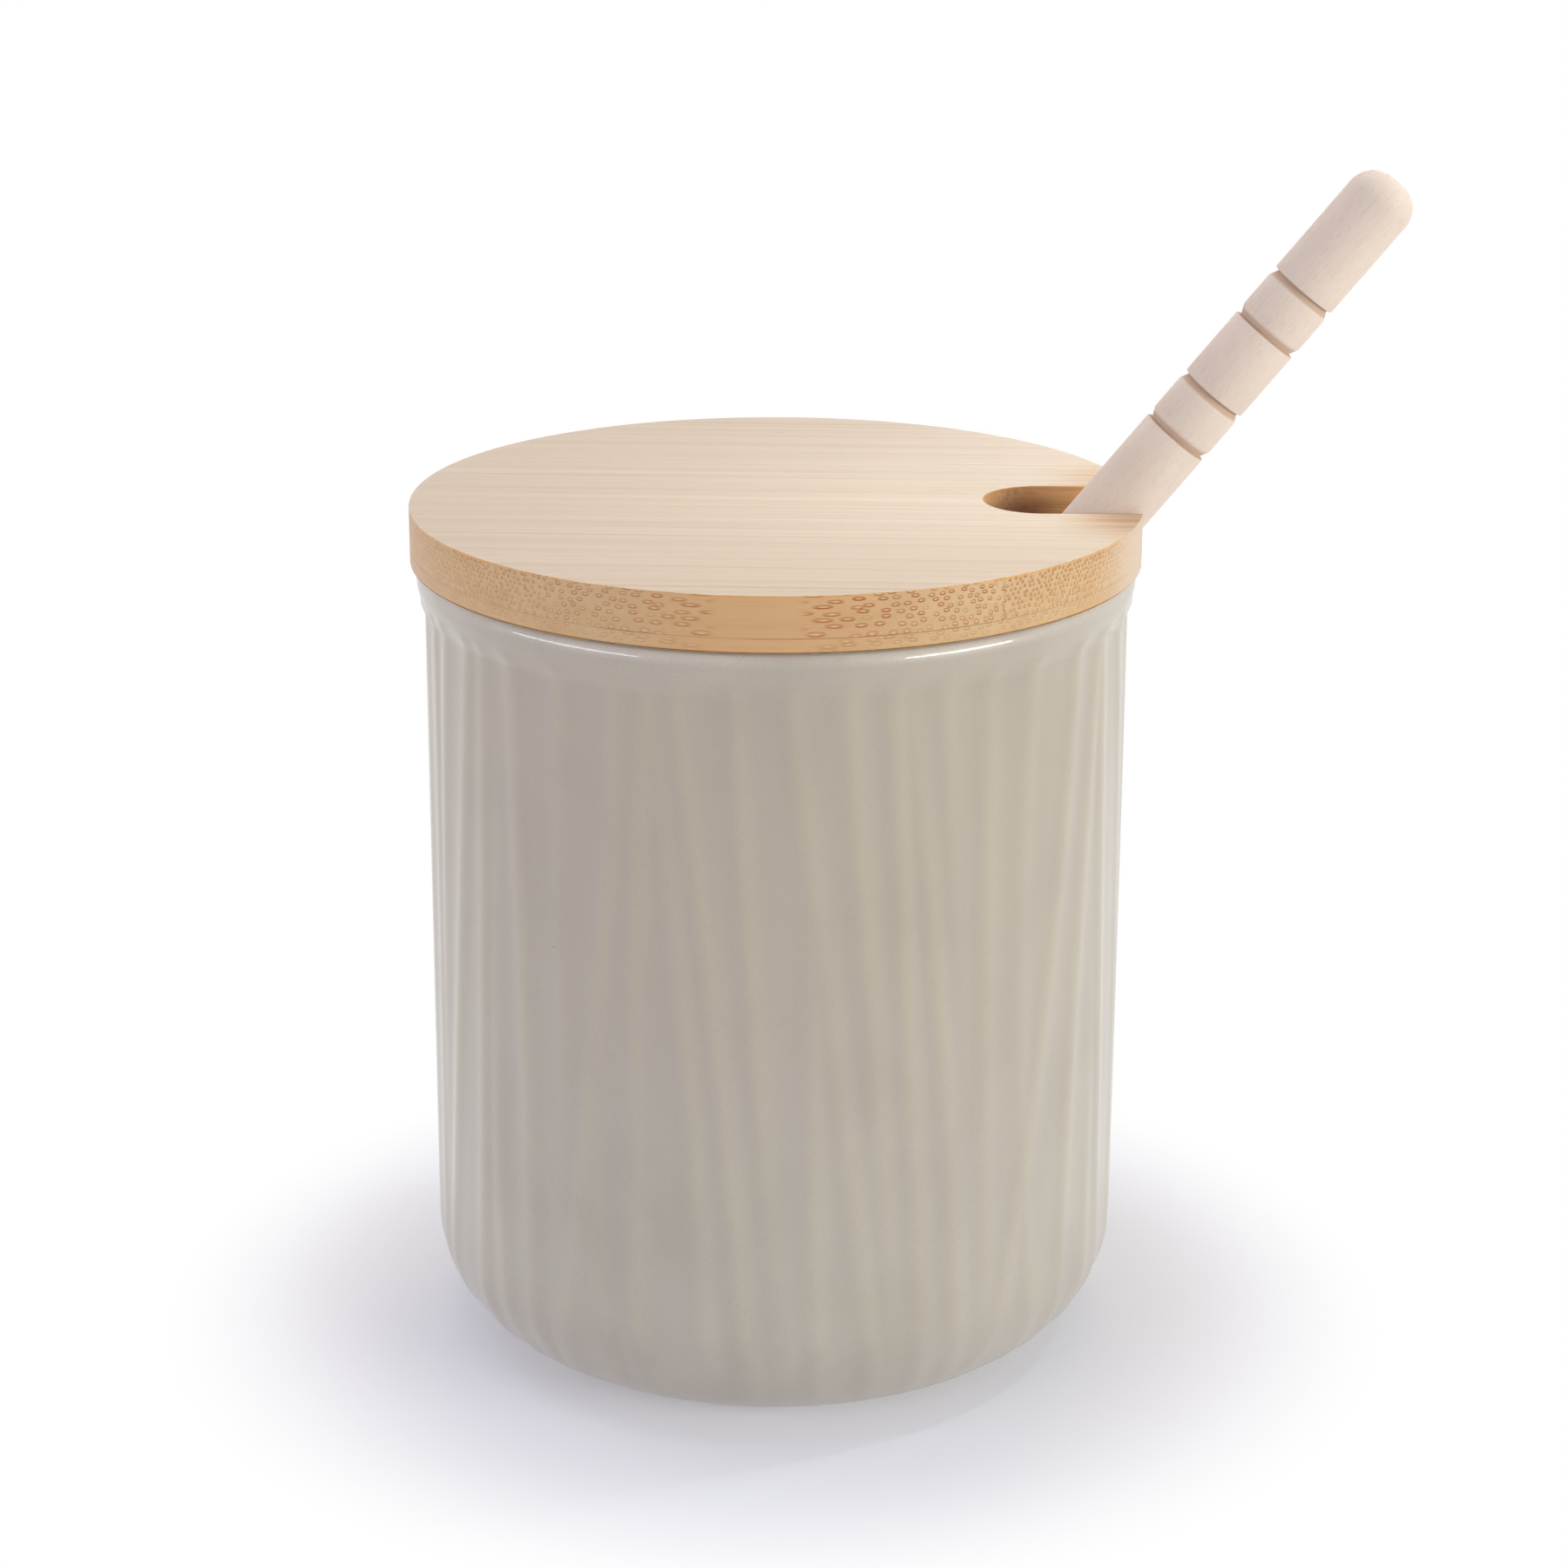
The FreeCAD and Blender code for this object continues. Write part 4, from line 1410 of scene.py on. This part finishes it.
@dataclass
class Studio:
    """White sheet, soft lamps, pale surroundings and the camera. Places in millimetres."""

    sheet_side: float = 9000.0
    camera_target: tuple[float, float, float] = (1.036, 0.0, 69.03)
    camera_distance: float = 475.0
    camera_elevation: float = 18.23
    camera_roll: float = 0.19
    lens: float = 88.6
    sensor: float = 36.0
    clip_start: float = 10.0
    sky: tuple[float, float, float] = (0.83, 0.89, 1.0)
    sky_strength: float = 0.34
    lamps: tuple[SoftBox, ...] = (
        SoftBox("side_right", (610.0, -387.0, 202.0), (0.0, 0.0, 70.0), 480.0, 90.0, 2.82,
                (1.0, 0.985, 0.9)),
        SoftBox("side_left", (-647.0, -316.0, 202.0), (0.0, 0.0, 70.0), 600.0, 60.0, 1.5,
                (0.96, 0.92, 1.0)),
        SoftBox("high_left", (-350.0, 120.0, 520.0), (0.0, 0.0, 60.0), 260.0, 260.0, 0.36,
                (0.75, 0.8, 1.0)),
        SoftBox("overhead", (0.0, 60.0, 700.0), (0.0, 0.0, 60.0), 500.0, 500.0, 1.17,
                (1.0, 0.88, 0.88)),
        SoftBox("back_high", (60.0, 420.0, 520.0), (0.0, 0.0, 60.0), 400.0, 300.0, 0.54,
                (1.0, 0.72, 0.26)),
        SoftBox("snoot_right", (190.0, 60.0, 340.0), (36.0, 10.0, 105.0), 60.0, 60.0, 0.0057,
                (0.78, 0.92, 1.0), 18.0),
    )

    def lay_sheet(self) -> None:
        """Lays the white sheet under the pot."""
        deselect_all()
        bpy.ops.mesh.primitive_plane_add(size=self.sheet_side * MM, location=(0.0, 0.0, 0.0))
        sheet = bpy.context.active_object
        sheet.name = "studio_sheet"
        sheet.data.materials.append(FloorFinish().material())

    def light(self) -> None:
        """Hangs the lamps and sets the surroundings: white to the eye, a soft cool fill to the object."""
        for lamp in self.lamps:
            lamp.hang()
        world = bpy.data.worlds.new("studio_air")
        world.use_nodes = True
        bpy.context.scene.world = world
        tree = world.node_tree
        air = next(n for n in tree.nodes if n.type == "BACKGROUND")
        air.inputs["Color"].default_value = (*self.sky, 1.0)
        air.inputs["Strength"].default_value = self.sky_strength
        white = tree.nodes.new("ShaderNodeBackground")
        white.inputs["Color"].default_value = WHITE
        path = tree.nodes.new("ShaderNodeLightPath").outputs
        seen = path["Is Camera Ray"]
        for kind in MIRRORED_RAYS:
            either = tree.nodes.new("ShaderNodeMath")
            either.operation = "MAXIMUM"
            tree.links.new(seen, either.inputs[0])
            tree.links.new(path[kind], either.inputs[1])
            seen = either.outputs[0]
        joined = tree.nodes.new("ShaderNodeMixShader")
        for place, source in enumerate((seen, air.outputs[0], white.outputs[0])):
            tree.links.new(source, joined.inputs[place])
        output = next(n for n in tree.nodes if n.type == "OUTPUT_WORLD")
        tree.links.new(joined.outputs[0], output.inputs["Surface"])

    def set_camera(self) -> None:
        """Puts the camera where the photograph was taken from."""
        rise = math.radians(self.camera_elevation)
        roll = math.radians(self.camera_roll)
        forward = Vector((0.0, math.cos(rise), -math.sin(rise)))
        right = Vector((1.0, 0.0, 0.0))
        up = right.cross(forward)
        turned_right = right * math.cos(roll) + up * math.sin(roll)
        turned_up = up * math.cos(roll) - right * math.sin(roll)
        deselect_all()
        bpy.ops.object.camera_add()
        camera = bpy.context.active_object
        place = (Vector(self.camera_target) - forward * self.camera_distance) * MM
        turn = Matrix((turned_right, turned_up, -forward)).transposed().to_4x4()
        camera.matrix_world = Matrix.Translation(place) @ turn
        camera.data.lens = self.lens
        camera.data.sensor_width = self.sensor
        camera.data.clip_start = self.clip_start * MM
        bpy.context.scene.camera = camera

    def build(self) -> None:
        """Sets up the whole studio."""
        self.lay_sheet()
        self.light()
        self.set_camera()
        bpy.context.scene.view_settings.view_transform = "Standard"
        LOG.info("studio: %d lamps, camera at %.0f mm", len(self.lamps), self.camera_distance)


def main() -> None:
    """Builds and dresses the pot, the lid and the dipper, then sets up the studio."""
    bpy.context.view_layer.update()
    pot = StonewarePot()
    pot.build()
    pot.dress(GlazeFinish())
    lid = BambooLid()
    lid.build()
    lid.dress()
    dipper = HoneyDipper()
    dipper.build()
    dipper.dress()
    Studio().build()


if __name__ == "__main__":
    main()
